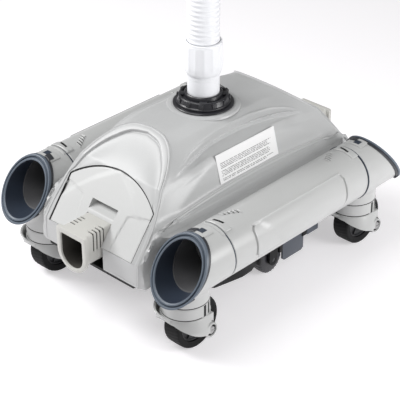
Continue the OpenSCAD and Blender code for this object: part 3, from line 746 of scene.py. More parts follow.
def face_panel(edge):
    """The hull's front face round the drawer opening, right half: rows run round it, columns run inwards."""
    low_line = [(x, BASE_Z) for x in np.linspace(edge[-1, 0], NOTCH_HALF, 41)]
    outer = np.vstack([edge, low_line[1:]])
    n, cols = len(outer), 26
    shoulder = int(np.argmin(np.abs(edge[:, 1] - DOOR_SHOULDER)))
    foot = int(np.argmin(np.abs(edge[:, 1] - DOOR_LOW)))
    inner_side = door_edge(shoulder + 1, foot - shoulder + 1, SEAM)
    gone = np.r_[0, np.cumsum(np.linalg.norm(np.diff(outer[foot:], axis=0), axis=1))]
    under = np.stack([DOOR_HALF + SEAM + (NOTCH_HALF - DOOR_HALF - SEAM) * gone / gone[-1],
                      np.full(len(gone), DOOR_LOW - SEAM)], axis=1)
    inner = np.vstack([inner_side, under[1:]])
    span = np.linalg.norm(outer - inner, axis=1)
    # most columns lie near the rim's inner edge, where the face steps down
    rim = np.interp(np.arange(n), [0, 18, 32, 44, 54, 70, shoulder, foot],
                    [4.2, 5.5, 7.5, 6.5, 5.5, 5, 4.2, 4])
    rim = np.minimum(rim, span * 0.5)
    squeeze = np.minimum(1.0, (span - rim) / 6.0)
    steps = np.array([-0.35, 0.0, 0.3, 0.7, 1.5, 2.1, 2.8])
    s = np.zeros((n, cols))
    for i in range(n):
        marks = np.r_[0, rim[i] * 0.12, rim[i] * 0.3, rim[i] * 0.8, rim[i] + steps * squeeze[i]]
        s[i] = np.r_[marks, np.linspace(marks[-1], span[i], cols - len(marks) + 1)[1:]]
    flat = outer[:, None, :] + (inner - outer)[:, None, :] * (s / span[:, None])[:, :, None]
    # the field inside the rim is sunk, with a deeper groove along the rim
    keys = [0, 40, shoulder, foot, n]
    deep = np.interp(np.arange(n), keys, [3.4, 3.0, 0.8, 0.5, 0.0])[:, None]
    groove = np.interp(np.arange(n), keys, [0.7, 0.6, 0.4, 0.3, 0.0])[:, None]
    rim = rim[:, None]
    t = (s - rim) / squeeze[:, None]
    back = 1 - smoothstep(s, rim + 3.0, np.maximum(span[:, None] * 0.94, rim + 3.5))
    crown = 0.6 * (1 - smoothstep(s, 0.0, 1.8))
    sunk = deep * (0.15 + 0.85 * back) + groove * (1 - smoothstep(t, 1.4, 2.4))
    depth = crown + smoothstep(t, -0.1, 0.5) * sunk
    return on_face(flat[:, :, 0], flat[:, :, 1], depth), on_face(outer[:, 0], outer[:, 1], crown[:, 0])


def hull_shell():
    """The hull's skin in four mirrored quarters, open at the drawers, the inlet and the bottom."""
    grid, edge = hull_grid()
    nrm = outward_normals(grid)
    panel, rim_line = face_panel(edge)
    rows = len(edge)
    row = np.arange(rows)[:, None]
    gap = grid[:, :, 1] - grid[:, -1:, 1]
    skin = Parts()
    for side in (-1, 1):
        # a lip arches over the face's rim, and a bead runs along the crease above the tubes
        arch = 1.5 - 0.7 * smoothstep(row, 60, CREASE_ROW)
        lip = arch * (1 - smoothstep(gap, 0.9, 3.2)) * smoothstep(gap, -0.6, 0.9) - 0.35 * bump(gap, 4.2, 1.1)
        bead = 1.8 * bump(row, CREASE_ROW - 1.5, 1.7) * smoothstep(gap, 6.0, 30.0)
        lift = crescent(grid, side) + lip + bead
        lift[0] = lift[1]
        quarter = grid + nrm * lift[:, :, None]
        quarter[0, :, 0] = 0
        quarter[:, -1] = rim_line[:rows]
        for sx in (1, -1):
            for part in (quarter, panel):
                skin.add((part.reshape(-1, 3), grid_faces(*part.shape[:2])), mirror(sx, -side))
    verts = np.vstack(skin.verts)

    def is_kept(face):
        x, y, z = verts[list(face)].mean(axis=0)
        return math.hypot(x, y) > 33.5 or z < 200

    ob = build("hull_shell", (verts, [f for f in skin.faces if is_kept(f)]), SHELL, stands_for="top_shell",
               merge=0.05)
    thicken(ob, 2.4, 62.0)


def inlet_boss():
    """Low cone of the roof round the inlet flange."""
    z, hole = ROOF_Z, 33.0
    profile = [(hole, z - 3), (49.5, z - 3), (48.2, z - 0.6), (47.2, z - 0.1), (43.6, z + 0.6),
               (42.6, z + 0.75), (41.4, z + 0.5), (hole, z + 0.5)]
    Parts(revolve(fillet(profile, 0.5, 3), 120)).build("roof_boss", SHELL)


# ---------- drawers ----------

def door_relief(x, z, crown):
    """Depth of the drawer front's facets."""
    ax = np.abs(x)
    # a ridge runs from the crown down each side to the outer edge
    ridge_z = np.interp(ax, [0, 2, 35, 60, 75], [196, 195, 177, 158.5, 147])
    above = smoothstep(z - ridge_z, 0.0, 8.0)
    rim = 1 - smoothstep(np.minimum(crown - z, DOOR_HALF - ax), 0.0, 1.4)
    # corner panels beside the nozzle are sunk, with a hard upper edge
    side_x = np.interp(z, [121, 136, 161, 167], [34, 36, 40, 60])
    upper_z = np.interp(ax, [40, 66, 75], [161, 167, 168])
    corner = smoothstep(ax - side_x, 0.0, 1.4) * smoothstep(upper_z - z, 0.0, 1.4)
    return 1.5 * above + 1.3 * corner + 0.5 * rim


def drawer_front(rear):
    """Sloped drawer front with facets, a finger pocket and a cut-out for the nozzle's neck."""
    neck, neck_top = NECK_HALF + 0.3, NECK_TOP + 0.2
    pocket, pocket_low, pocket_high = 22.8, 150.4, 161.0
    upper = 166              # above this height the rows follow the crown's arc
    xs = np.unique(np.round(np.concatenate([
        np.linspace(0, neck, 10), [pocket - 0.7, pocket, pocket + 0.35, pocket + 1.2],
        np.linspace(26, DOOR_HALF - 1.2, 34), [DOOR_HALF - 0.4, DOOR_HALF]]), 3))
    xs = np.unique(np.concatenate([-xs, xs]))
    low = np.unique(np.round(np.concatenate([
        [DOOR_LOW, DOOR_LOW + 0.5], np.linspace(DOOR_LOW + 1.5, neck_top, 15),
        [neck_top + 0.6, 148.4, pocket_low - 0.4, pocket_low, pocket_low + 0.5, 151.7, 152.8, 154.2, 156, 158,
         pocket_high - 0.8, pocket_high, pocket_high + 0.5, pocket_high + 1.4, 164.5, upper]]), 3))
    high = np.r_[np.linspace(0, 1, 26)[1:-1], [0.985, 1.0]]
    crown = (DOOR_CROWN - DOOR_ARC_R + np.sqrt(DOOR_ARC_R ** 2 - xs ** 2))[:, None]
    z = np.concatenate([low + 0 * crown, upper + (crown - upper) * high], axis=1)
    x = xs[:, None] + 0 * z
    pts = on_face(x, z, door_relief(x, z, crown))
    in_pocket = (np.abs(x) <= pocket) & (z >= pocket_low) & (z <= pocket_high)
    floor_y = np.interp(z, [pocket_low, pocket_low + 0.5, 151.7, 152.8, 154.2, 156, pocket_high],
                        [-187.6, -184.5, -178.5, -174, -170.5, -168.3, -168])
    pts[:, :, 1] = np.where(in_pocket, floor_y, pts[:, :, 1])
    flat_x, flat_z = x.ravel(), z.ravel()
    faces = [f for f in grid_faces(*x.shape)
             if abs(flat_x[list(f)].mean()) >= neck or flat_z[list(f)].mean() >= neck_top]
    where = end_name(rear)
    ob = build("drawer_front_" + where, (to_end(rear)(pts.reshape(-1, 3)), faces), DOOR, where + "_drawer",
               stands_for="door_" + where)
    thicken(ob, 2.8, 34.0)


def drawer_seam_shade(rear):
    """Black strip of painted shade in the seam gap round the drawer front."""
    half = door_edge(40, 24, SEAM / 2)
    line = np.vstack([half[::-1] * np.array([-1, 1]), half[1:]])
    along = np.gradient(line, axis=0)
    side = np.stack([along[:, 1], -along[:, 0]], axis=1) / np.linalg.norm(along, axis=1)[:, None]
    rows = []
    for across, depth in ((-0.7, 0.75), (0.7, 0.75), (0.7, 2.4), (-0.7, 2.4)):
        q = line + side * across
        rows.append(on_face(q[:, 0], q[:, 1], depth))
    gap_shade = Parts(capped(np.stack(rows, axis=1))).moved(to_end(rear))
    gap_shade.build("seam_gap_shade_" + end_name(rear), BLACK_AND_SHADE)


def tub(half, centre_z, top, easing=3.0):
    """Closed outline, round below and square above, x across and z up, with a fixed number of points."""
    bowl = arc(half, 0, -180, 29, (0, centre_z))
    left = [(-half, z) for z in np.linspace(centre_z, top - easing, 10)[1:]]
    corner_l = arc(easing, 180, 90, 6, (easing - half, top - easing))[1:]
    bar = [(x, top) for x in np.linspace(-half + easing, half - easing, 22)[1:]]
    corner_r = arc(easing, 90, 0, 6, (half - easing, top - easing))[1:]
    right = [(half, z) for z in np.linspace(top - easing, centre_z, 10)[1:-1]]
    return np.vstack([bowl, left, corner_l, bar, corner_r, right])


def through_tubs(rows):
    """Closed tube through (outline, distance to the front) rows."""
    return hoop(np.array([[(x, -y, z) for x, z in line] for line, y in rows]).transpose(1, 0, 2))


def neck_line(y):
    """The neck's outline, cut into by a grip slot where there is one."""
    line = tub(NECK_HALF, NECK_LOW, NECK_TOP)
    slot = max(1 - smoothstep(abs(y - at), 0.75, 1.2) for at in NECK_SLOTS)
    ax = np.abs(line[:, 0])
    cut = 2.0 * slot * smoothstep(line[:, 1], 119, 122) * smoothstep(ax, 10, 14)
    on_side, on_top = ax > 18, line[:, 1] > 143
    return line - np.stack([np.sign(line[:, 0]) * cut * on_side, cut * on_top], axis=1)


def nozzle(rear):
    """Jet nozzle with a broad lip, a tub-shaped bore and grip slots round its neck."""
    where, move = end_name(rear), to_end(rear)
    body = where + "_drawer"
    ys = np.unique(np.round(np.r_[118, 150, 175, 190, 198, np.linspace(200, 229, 88), 231, 232.5], 2))
    rows = [(neck_line(y), y) for y in ys]
    # the lip, as half width, rise above the neck and distance
    for half, rise, y in ((22.2, 0.1, 233.4), (23.2, 0.4, 234.0), (26.2, 0.9, 234.2), (26.8, 1.0, 234.7),
                          (27, 1.0, 235.4), (27, 1.0, 238.8), (26.6, 0.8, 239.6), (25.9, 0.3, LIP_Y)):
        rows.append((tub(half, NECK_LOW, NECK_TOP + rise), y))
    # the bore, as half width, centre height, top and distance
    for half, centre, top, y in ((20.6, 114.6, 140.4, LIP_Y), (19.9, 114.1, 139.8, 239.6),
                                 (19.5, 114, 139.5, 238.5), (19.2, 114, 139.3, 225), (18.4, 114, 138.6, 200),
                                 (17.5, 114, 138, 150), (17, 114, 138, 118)):
        rows.append((tub(half, centre, top), y))
    Parts(through_tubs(rows)).moved(move).build("jet_nozzle_" + where, WARM, body,
                                                stands_for="nozzle_" + where, sharp=32)

    # painted shade: black blocks at the bottom of the grip slots stand for the shade in them
    dark = Parts()
    for y in NECK_SLOTS:
        for s in (-1, 1):
            for x, z0, z1 in ((19.8, 119.5, 144.2), (11.5, 143.4, 144.9)):
                x0, x1 = sorted((s * x, s * 20.9))
                dark.add(brick((x0, -y - 0.95, z0), (x1, -y + 0.95, z1), 0.1), move)
    dark.build("nozzle_slot_shade_" + where, BLACK_AND_SHADE, body)

    # painted shade of the bore: a dark sheet just inside it, outer wall backwards, inner wall forwards
    lining = [(237.6, 19.6, 139.6), (225, 19.25, 139.35), (200, 18.45, 138.65), (150, 17.55, 138.05),
              (119, 17.05, 138.05), (119, 16.5, 137.5), (150, 17.0, 137.5), (200, 17.9, 138.1), (225, 18.7, 138.8),
              (237.6, 19.0, 139.1)]
    lining = [(tub(half, 114, top), y) for y, half, top in lining]
    Parts(through_tubs(lining)).moved(move).build("nozzle_shade_sheet_" + where, SHADE, body)


# ---------- flow tubes ----------

def tube_point(theta, y, r):
    """Point on the right flow tube; theta in degrees from +X towards +Z."""
    a = np.radians(theta)
    return np.stack([TUBE_X + r * np.cos(a), y + 0 * r, TUBE_Z + r * np.sin(a)], axis=-1)


def patch_on_tube(theta0, theta1, y0, y1, r0, r1, nt=16, ny=8, edge=0.5):
    """Closed curved slab lying on the tube."""
    T, Y = np.meshgrid(np.linspace(theta0, theta1, nt), np.linspace(y0, y1, ny), indexing="ij")
    rim = np.minimum(np.minimum(np.abs(T - theta0), np.abs(T - theta1)) * math.radians(1) * r1,
                     np.minimum(np.abs(Y - y0), np.abs(Y - y1)))
    top = tube_point(T, Y, r1 - edge * (1 - smoothstep(rim, 0, 1.2)))
    low = tube_point(T, Y, np.full_like(T, r0))
    return slab_solid(top, low)


def tube_wall():
    """The tube with its outer panel between two bent end grooves."""
    half = TUBE_HALF
    theta = np.arange(180) * 2.0 - 180
    y = np.unique(np.round(np.concatenate([
        [-half, -half + 0.4, -half + 1.0], np.linspace(-half + 2, -97, 12), np.linspace(-96, -86, 21),
        np.linspace(-84, 78, 44), np.linspace(79, 90, 23), np.linspace(92, half - 2, 12),
        [half - 1.0, half - 0.4, half]]), 2))
    T, Y = np.meshgrid(theta, y, indexing="ij")
    low_t, high_t, top_line = -22.0, 49.0, 51.0
    width, soft = 3.2, 0.5

    def groove_at(mid):
        return 1 - smoothstep(np.abs(Y - mid), width / 2 - soft, width / 2 + soft)

    across = smoothstep(T, low_t, low_t + 3) * (1 - smoothstep(T, high_t - 3, high_t))
    bend_high, bend_low = smoothstep(T, 36, 50), 3.0 * smoothstep(-T, 8, 22)
    groove = np.maximum(groove_at(-91.5 + 5.0 * bend_high + bend_low),
                        groove_at(85.0 - 4.0 * bend_high - bend_low)) * across
    inside = smoothstep(Y, -90, -88.5) * (1 - smoothstep(Y, 82, 83.5))
    panel = inside * (1 - smoothstep(T, top_line - 1, top_line + 1.5)) * smoothstep(T, low_t - 4, low_t - 1)
    # the panel's front end is a flat facet, and its top edge a fine raised line
    facet = (1 - smoothstep(Y - (-80 + 0.55 * (52 - T)), 0, 3.0)) * inside * across
    r = TUBE_R - 2.4 * groove + 1.0 * panel - 0.9 * facet + 0.8 * bump(T, top_line, 1.4) * inside
    r -= 0.5 * (1 - smoothstep(np.minimum(Y + half, half - Y), 0, 0.9))
    return ring_solid(tube_point(T, Y, r), tube_point(T, Y, np.full_like(T, BORE_R)))


def grip_ribs(count, theta0, y0, half_width, r0, r1, ny, edge):
    """Short ribs that climb round the tube in steps."""
    for k in range(count):
        theta, y = theta0 - 4.6 * k, y0 + 4.9 * k
        yield patch_on_tube(theta - 12.5, theta + 1.0, y - half_width, y + half_width, r0, r1, 8, ny, edge)


def flow_tube(side):
    """Long side tube with the tongues that lap over its ends, grip ribs, and black pieces painted as the shade in
    the tongues' slots and between the ribs.
    """
    shell, slots = Parts(tube_wall()), Parts()
    tongue = patch_on_tube(62, 114, -TUBE_HALF - 0.4, -118.5, TUBE_R - 1.5, TUBE_R + 2.0, 26, 12, 0.9)
    # painted shade: a black patch stands for the shade in the tongue's slot
    slot, slot_faces = patch_on_tube(79, 101, -124.8, -121.6, TUBE_R + 1.0, TUBE_R + 2.12, 14, 4, 0.05)
    slot[:, 1] -= 0.128 * (np.degrees(np.arctan2(slot[:, 2] - TUBE_Z, slot[:, 0] - TUBE_X)) - 90)
    for s in (1, -1):
        shell.add(tongue, mirror(1, s))
        for rib in grip_ribs(5, 113, -106.5, 0.9, TUBE_R - 1.0, TUBE_R + 1.9, 5, 0.9):
            shell.add(rib, mirror(1, s))
        slots.add((slot, slot_faces), mirror(1, s))
        # painted shade: black strips in the grooves between the grip ribs
        for gap in grip_ribs(4, 111, -104.1, 0.55, TUBE_R - 0.6, TUBE_R + 0.3, 4, 0.05):
            slots.add(gap, mirror(1, s))
    name = "right" if side > 0 else "left"
    shell.moved(mirror(side)).build("flow_tube_" + name, TUBE, stands_for="tube_" + name, sharp=36)
    slots.moved(mirror(side)).build("tongue_slot_shade_" + name, BLACK_AND_SHADE)


# ---------- mouths ----------

def mouth_plane(z, behind=0.0):
    """Where the right front mouth's slanted plane is at a height, or a plane some way behind it."""
    return -MOUTH_Y + (z - TUBE_Z) * math.tan(MOUTH_LEAN) + behind / math.cos(MOUTH_LEAN)


def mouth_rows(theta, profile):
    """Grid round the right front mouth: profile points are (radius, distance behind the mouth's plane)."""
    a = np.radians(theta)[:, None]
    r, behind = np.array(profile, float).T
    z = TUBE_Z + r * np.sin(a)
    return np.stack([TUBE_X + r * np.cos(a), mouth_plane(z, behind), z], axis=2)


def elbow_ring(theta, r, part, behind):
    """Ring of points on the way from the tube's end (part 0) to the mouth (part 1)."""
    a = np.radians(theta)
    z = TUBE_Z + r * np.sin(a)
    return np.stack([TUBE_X + r * np.cos(a), mouth_plane(z, behind) * part - ELBOW_START * (1 - part), z],
                    axis=1)


def post():
    """The caster's post, which flares into the tube's underside."""
    around, rows = 96, 20
    low = CUP_TOP + 0.8
    grid = np.zeros((around, rows + 1, 3))
    for i, p in enumerate(np.arange(around) / around * 2 * math.pi):
        off = CASTER_X + (CUP_R + 4.5) * math.cos(p) - TUBE_X
        top = TUBE_Z - 5
        if abs(off) < TUBE_R:
            top = min(top, TUBE_Z - math.sqrt(TUBE_R ** 2 - off ** 2))
        for k in range(rows + 1):
            z = low + (top + 1.5 - low) * k / rows
            r = CUP_R + 4.5 * smoothstep(z, top - 11, top) ** 1.6
            y = max(-CASTER_Y + r * math.sin(p), mouth_plane(z) + 4.6)
            grid[i, k] = (CASTER_X + r * math.cos(p), min(y, -ELBOW_START), z)
    axis = np.array([CASTER_X, -CASTER_Y, 0.0])
    return ring_solid(grid, axis + (grid - axis) * np.array([0.86, 0.86, 1.0]))


def elbow(corner):
    """Short tube end with the caster's post below it, a raised band at its joint and a small window."""
    theta = np.arange(144) * 2.5
    parts = [0, 0.006, 0.02, 0.06, 0.12, 0.2, 0.3, 0.45, 0.6, 0.75, 0.88, 1.0]
    ease = [0.5, 0.15] + [0.0] * 10
    outer = np.stack([elbow_ring(theta, TUBE_R - e, f, 4.0) for e, f in zip(ease, parts)], axis=1)
    inner = np.stack([elbow_ring(theta, BORE_R + 0.4, f, 4.0) for f in parts], axis=1)
    body = Parts(ring_solid(outer, inner), post())
    body.add(prism(circle(28, 48, (CASTER_X, -CASTER_Y)), CUP_TOP + 2.0, CUP_TOP + 6.0, 0.4))
    body.add(patch_on_tube(58, 113, -136.5, -ELBOW_START + 0.1, TUBE_R - 1.5, TUBE_R + 1.2, 22, 5, 0.7))
    body.add(patch_on_tube(74, 117, -163.5, -144.0, TUBE_R - 1.5, TUBE_R + 1.5, 24, 9))
    body.moved(to_corner(corner)).build("elbow_post_" + corner, TUBE, stands_for="elbow_" + corner, sharp=36)
    window = Parts(patch_on_tube(83.5, 97.0, -156.5, -147.5, TUBE_R - 1.0, TUBE_R + 1.62, 9, 5, 0.05))
    window.moved(to_corner(corner)).build("elbow_window_" + corner, DEEP)


def seam_band(corner):
    """Slate band in the joint between a rear elbow and its tube."""
    theta = np.arange(144) * 2.5
    shape = ((2.1, 37.9), (1.8, 38.4), (0.4, 38.4), (0.1, 37.9))
    outer = np.stack([tube_point(theta, -TUBE_HALF - d, np.full(144, r)) for d, r in shape], axis=1)
    inner = np.stack([tube_point(theta, -TUBE_HALF - d, np.full(144, 37.0)) for d, r in shape], axis=1)
    Parts(ring_solid(outer, inner)).moved(to_corner(corner)).build("seam_band_" + corner, DEEP)


def mouth(corner):
    """Slate ring on the slanted mouth, its dark liner, the sleeve within and the collar behind it."""
    theta = np.arange(160) * 2.25
    move = to_corner(corner)
    rim = fillet([(40.0, 0.9), (40.0, 3.9), (33.4, 3.9), (33.0, 0.9), (34.0, 0.0), (35.6, 0.0), (36.0, 2.7),
                  (37.4, 2.7), (37.8, 0.6), (39.3, 0.6)], [0.5, 0.5, 0.2, 0.5, 0.5, 0.4, 0.2, 0.2, 0.4, 0.5],
                 3)
    Parts(hoop(mouth_rows(theta, rim))).moved(move).build(
        "mouth_rim_" + corner, SLATE, stands_for="mouth_ring_" + corner, sharp=40)

    liner = [(33.3, 1.2), (33.3, MOUTH_DEPTH), (32.7, MOUTH_DEPTH), (32.8, 14.0), (33.0, 1.2)]
    Parts(hoop(mouth_rows(theta, liner))).moved(move).build("mouth_liner_" + corner, DEEP)
    walls = [np.stack([elbow_ring(theta, r, 1 - f, MOUTH_DEPTH + 0.2) for f in np.linspace(0, 1, 12)], axis=1)
             for r in (33.0, 31.4)]
    Parts(ring_solid(*walls)).moved(move).build("inner_sleeve_" + corner, SLEEVE)

    # the collar is open below, round the post, with a block on each end and a clip on top
    start, end, inside = -38, 218, 37.6
    collar = Parts(capped(mouth_rows(np.linspace(start, end, 129),
                                     fillet([(38.9, 4.0), (38.9, 8.0), (inside, 8.0), (inside, 4.0)], 0.3,
                                            2))))
    block = fillet([(40.2, 3.9), (40.2, 9.5), (inside, 9.5), (inside, 3.9)], 0.5, 2)
    for at in (start, end):
        collar.add(capped(mouth_rows(np.linspace(at - 3, at + 3, 7), block)))
    clip = fillet([(40.2, 6.0), (40.2, 13.0), (37.2, 13.0), (37.2, 6.0)], 0.6, 2)
    collar.add(capped(mouth_rows(np.linspace(97, 113, 9), clip))).moved(move)
    collar.build("mouth_band_" + corner, CHARCOAL, stands_for="mouth_collar_" + corner, sharp=40)


# ---------- inlet ----------

def inlet():
    """Flange on the roof and the lock ring that holds the swivel."""
    z, r, hole = ROOF_Z, FLANGE_R, 29.4
    plate = [(hole, z + 0.6), (r - 0.6, z + 0.6), (r, z + 1.2), (r, z + 2.4), (r - 1.2, z + 3.3),
             (35.5, z + 3.6), (hole, z + 3.6)]
    Parts(revolve(fillet(plate, 0.5, 3), 120)).build("inlet_plate", SATIN_BLACK, stands_for="inlet_flange")

    base = z + 3.8
    wall = [(29.2, base), (35.6, base), (36.0, base + 0.5), (36.0, base + 2.4), (34.4, base + 3.4),
            (33.2, base + 9.0), (32.2, base + 10.4), (30.6, base + 10.6), (29.6, base + 9.6),
            (29.2, base + 6)]
    collar = [(22.0, base + 5.0), (24.6, base + 5.0), (29.6, base + 5.6), (29.6, base + 7.4),
              (25.6, base + 8.2), (24.8, base + 13.4), (23.8, base + 14.4), (22.4, base + 14.2),
              (22.0, base + 13)]
    ring = Parts(revolve(fillet(wall, 0.5, 2), 120), revolve(fillet(collar, 0.4, 2), 96))
    for k in range(12):
        ring.add(brick((32.4, -3.2, base + 2.6), (35.4, 3.2, base + 9.4), 0.8), about_z(k * 30 + 8))
    for k in range(4):
        ring.add(brick((24.2, -5.0, base + 6.8), (31.0, 5.0, base + 10.9), 0.8), about_z(k * 90 + 43))
    ring.build("inlet_lock_ring", SATIN_BLACK, stands_for="lock_ring", sharp=36)


# ---------- casters ----------

def to_axle(v):
    """Lays a lump that stands along Z on the wheel's axle."""
    return along_x(v) + np.array([0, TRAIL, WHEEL_R])


def round_cup(r, degrees, z):
    """Points round the caster's upright axis; degrees count from the front towards +X."""
    a = np.radians(degrees)
    return np.stack(np.broadcast_arrays(r * np.sin(a), -r * np.cos(a), z), axis=-1)


def skirt_low(away):
    """Height of the skirt's lower edge, at degrees away from the front."""
    low = np.interp(away, [0, 20, 45, 70, 90, 108, 120, 132, 150, 180],
                    [53, 51.5, 45, 37.5, 33.5, 34.5, 46, FLANGE_Z, FLANGE_Z, FLANGE_Z])
    behind = (away > 90) & (CUP_R * np.sin(np.radians(away)) < 13.2)
    return np.where(behind, 75.2, low)


def skirt_flare(z):
    return 5.0 * np.clip((FLANGE_Z - z) / 12.0, 0, 1.25) ** 0.9


def cup():
    """Round cup with a flared skirt that is open behind, where the wheel comes out."""
    phi = np.arange(144) * 2.5
    low = skirt_low(np.abs((phi + 180) % 360 - 180))
    flange = np.maximum(FLANGE_Z, low)
    below_top = CUP_TOP - 0.6
    rows = []
    for t in np.linspace(0, 1, 9):
        z = low + (flange - low) * t
        rows.append((CUP_R + skirt_flare(z), z))
    for out, up in ((0.9, 0.3), (0.9, 1.2), (0.0, 1.7)):
        rows.append((CUP_R + out, np.minimum(flange + up, below_top)))
    for t in np.linspace(0.1, 1, 6):
        rows.append((CUP_R, np.minimum(flange + 1.7, below_top) * (1 - t) + (CUP_TOP - 0.8) * t))
    rows += [(CUP_R - 0.3, CUP_TOP - 0.3), (CUP_R - 0.9, CUP_TOP)]
    outer = np.stack([round_cup(r, phi, z) for r, z in rows], axis=1)
    inner = np.stack([round_cup(r - CUP_WALL, phi, np.minimum(z, CUP_TOP - 2.6)) for r, z in rows], axis=1)
    return ring_solid(outer, inner)


def brim():
    """Brim that stands off the cup on one side, with a gap behind it."""
    arc = np.linspace(-92, 10, 52)
    top_z = 57.5 + 6.0 * smoothstep(arc, -92, -66) * (1 - smoothstep(arc, -56, 6))
    top_r = CUP_R + 1.0 + 7.6 * smoothstep(arc, -92, -64) * (1 - smoothstep(arc, -36, 10))
    foot = skirt_low(np.abs(arc)) + 1.0
    foot_r = CUP_R + 0.2 + skirt_flare(foot)
    outline = ((top_r - 3.0, top_z - 0.5), (top_r - 1.5, top_z + 0.5), (top_r, top_z - 0.5), (foot_r, foot),
               (foot_r - 0.8, foot - 0.6), (foot_r - 1.9, foot))
    return capped(np.stack([round_cup(r, arc, z) for r, z in outline], axis=1))


def caster_fork(corner, at):
    fork = Parts(cup())
    fork.add(prism(circle(CUP_R - 1.4, 48), CUP_TOP - 2.4, CUP_TOP - 0.1, 0.4))
    fork.add(prism(circle(6), CUP_TOP - 1, 92.0))
    y, z = TRAIL, WHEEL_R
    arm = fillet([(y - 9, z), (y - 9, FLANGE_Z), (y + 9, FLANGE_Z), (y + 9, z), (y + 6.5, z - 6.5),
                  (y, z - 9), (y - 6.5, z - 6.5)], [0, 1, 1, 0, 3, 4, 3], 3)
    boss = fillet([(3.2, 29.0), (10.4, 29.0), (10.4, 35.6), (9.6, 36.6), (8.0, 36.6), (7.7, 33.2),
                   (5.3, 33.2), (5.0, 35.8), (3.2, 35.8)], [0, 0.4, 0.4, 0.4, 0.4, 0.2, 0.2, 0.4, 0.2], 2)
    for s in (-1, 1):
        fork.add(prism(arm, 26.8, 31.0, 0.5), along_x, mirror(s))
        fork.add(revolve(boss, 56), to_axle, mirror(s))
        fork.add(prism(circle(8, 30, (y, z)), 10.4, 27.5, 0.4), along_x, mirror(s))
    fork.add(brim()).moved(at)
    fork.build("caster_fork_" + corner, TUBE, "caster_" + corner, stands_for="fork_" + corner, sharp=36)


def caster_shade_marks(corner, at):
    """Black marks painted as the shade in two drain slots, along the flange's line, in the seam on the cup's top
    and round the axle bosses.
    """
    marks = Parts()
    drain_z = (57.5, 75.0, 5)
    for degrees, heights, lift in (((92.3, 100.7, 7), drain_z, 0.12), ((108.9, 118.1, 7), drain_z, 0.12),
                                   ((-34, 86, 50), (58.9, 59.9, 3), 0.15)):
        A, Z = np.meshgrid(np.linspace(*degrees), np.linspace(*heights), indexing="ij")
        marks.add(slab_solid(round_cup(CUP_R + lift, A, Z), round_cup(CUP_R - 1.0, A, Z)))
    marks.add(revolve(rectangle(24.0, CUP_R + 0.25, CUP_TOP - 0.2, CUP_TOP + 0.7)))
    for s in (-1, 1):
        for r0, r1, x0, x1 in ((5.15, 7.8, 33.0, 35.0), (10.2, 11.3, 31.4, 32.6)):
            marks.add(revolve(rectangle(r0, r1, x0, x1), 48), to_axle, mirror(s))
    marks.moved(at).build("caster_shade_marks_" + corner, BLACK_AND_SHADE, "caster_" + corner)


def wheel(corner, at):
    """Tyre with slanted tread bars, and its hub with six ribs a side."""
    half = [(27.2, 8.6), (31, 9.2), (34.2, 9.8), (35.6, 9.4), (36.2, 8.4), (36.35, 6), (36.4, 3)]
    outline = [(r, -x) for r, x in half] + [(36.4, 0)] + half[::-1] + [(26.9, 0)]
    outline = np.array(outline) * np.array([1.0, 1.26])
    around = 168
    ang = np.arange(around)[:, None] / around * 2 * math.pi
    bars = 0.5 - 0.5 * np.sign(np.sin(ang * 42 + outline[:, 1] * 0.32))
    tyre = Parts(wheel_about_x(outline, 0.55 * bars * smoothstep(outline[:, 0], 35.7, 36.1)))
    tyre.moved(shift(0, TRAIL, WHEEL_R)).moved(at)
    tyre.build("wheel_tyre_" + corner, RUBBER, "wheel_" + corner, stands_for="tyre_" + corner, sharp=45)

    wall = [(3.3, -9.8), (7.6, -9.8), (8.2, -8.6), (9.5, -6.2), (22, -5.4), (24.4, -6.2), (25.4, -8.8),
            (27.0, -8.9), (27.0, 8.9), (25.4, 8.8), (24.4, 6.2), (22, 5.4), (9.5, 6.2), (8.2, 8.6),
            (7.6, 9.8), (3.3, 9.8)]
    hub = Parts(revolve(fillet(wall, 0.5, 2), 84))
    for s in (-1, 1):
        for k in range(6):
            hub.add(brick((8.0, -0.9, 5.2), (25.0, 0.9, 7.6)), about_z(k * 60), mirror(1, 1, s))
    hub.moved(to_axle).moved(at)
    hub.build("wheel_hub_" + corner, HUB, "wheel_" + corner, stands_for="hub_" + corner, sharp=36)


def caster(corner):
    sx, sy = CORNERS[corner]
    at = shift(sx * CASTER_X, sy * CASTER_Y, 0.0)
    caster_fork(corner, at)
    caster_shade_marks(corner, at)
    wheel(corner, at)


# ---------- underside ----------

def roller(side):
    """Ribbed roller beside the pan."""
    name = "roller_" + side
    lo, hi = node_box(name)
    pin_half, r = (hi[0] - lo[0]) / 2, (hi[2] - lo[2]) / 2
    half = min(pin_half, 7.5)
    around = 120
    outline = np.array([(4.4, -half), (r - 3.4, -half), (r - 1.0, -half + 0.6), (r - 0.2, -half + 1.8),
                        (r, 0), (r - 0.2, half - 1.8), (r - 1.0, half - 0.6), (r - 3.4, half), (4.4, half)])
    ribs = 0.5 - 0.5 * np.sign(np.sin(np.arange(around)[:, None] / around * 2 * math.pi * 24))
    lump = Parts(wheel_about_x(outline, 0.7 * ribs * smoothstep(outline[:, 0], r - 2.6, r - 1.2)))
    lump.add(prism(circle(2.8), -pin_half, pin_half, 0.4), along_x).moved(shift(*(lo + hi) / 2))
    lump.build("floor_" + name, SATIN_BLACK, "floor_roller_" + side, stands_for=name, sharp=40)


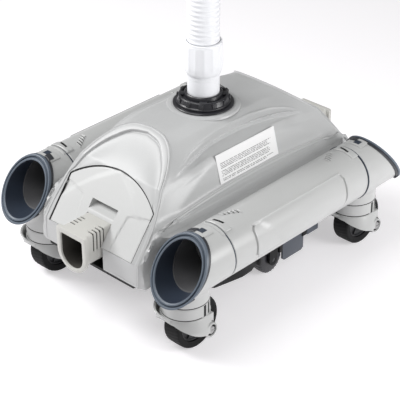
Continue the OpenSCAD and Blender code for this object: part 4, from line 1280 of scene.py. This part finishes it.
def skirt_flap(side):
    """Flap with rounded corners, hanging on its pin."""
    name = "skirt_flap_" + side
    lo, hi = node_box(name)
    mid_x = (lo[0] + hi[0]) / 2
    line = fillet([(lo[1], 54), (lo[1], lo[2] + 3), (lo[1] + 4, lo[2]), (hi[1] - 4, lo[2]),
                   (hi[1], lo[2] + 3), (hi[1], 54)], 2, 3)
    plate = Parts()
    plate.add(prism(line, -1.5, 1.5, 0.5), along_x, shift(mid_x, 0, 0))
    plate.add(prism(circle(3.4), lo[1], hi[1], 0.4), lambda v: v[:, [0, 2, 1]], shift(mid_x, 0, FLAP_PIN_Z))
    plate.build("side_flap_" + side, FLAP, "flap_" + side, stands_for=name, sharp=40)


def pan_details():
    """Clips, a beam and blocks on the pan's long sides."""
    black, slate = Parts(), Parts()
    beam = [(-97, 64), (-97, 41), (-88, 36), (-60, 31), (-33, 26.5), (-15, 27.5), (-3, 36), (2.5, 42),
            (2.5, 64)]
    for move in (to_end(False), to_end(True)):
        for y0, y1, z0 in ((-2, 3.5, 30), (40, 46.5, 30), (88.5, 97, 34)):
            black.add(brick((97.0, y0, z0), (104.5, y1, 62), 0.8), move)
        black.add(prism(fillet(beam[::-1], 2.0, 3), 96.5, 103.0, 0.8), along_x, move)
        black.add(brick((93, 104, 40), (100, 120, 84.5), 1.0), move)
        slate.add(brick((92, 100, 31), (103, 124, 41), 1.0), move)
    black.build("pan_clips", BLACK_AND_SHADE)
    slate.build("pan_blocks", FLAP)


# ---------- CAD pieces that stay, with their materials ----------

def dress_cad():
    kept = {BLACK_AND_SHADE: ["base_pan"], STEEL: ["hull_screws"] + ["axle_" + c for c in CORNERS],
            LABEL: ["label_plate"], DEEP: ["gasket_" + c for c in CORNERS], SLATE: ["turbine", "diverter"],
            CHARCOAL: ["manifold", "screen_front", "screen_rear"]}
    for material, names in kept.items():
        for name in names:
            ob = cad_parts[name]
            if not ob.material_slots:
                ob.data.materials.append(material)
            for slot in ob.material_slots:
                slot.link = "OBJECT"
                slot.material = material


# ---------- making ----------

camera()
hose()
swivel()
nut()
hull_shell()
inlet_boss()
inlet()
for at_rear in (False, True):
    drawer_front(at_rear)
    drawer_seam_shade(at_rear)
    nozzle(at_rear)
for way in (1, -1):
    flow_tube(way)
for name in CORNERS:
    elbow(name)
    mouth(name)
    caster(name)
for name in ("rb", "lb"):
    seam_band(name)
for way in ("right", "left"):
    roller(way)
    skirt_flap(way)
pan_details()
dress_cad()
stage()
lights()

bpy.context.scene.view_settings.view_transform = "Standard"
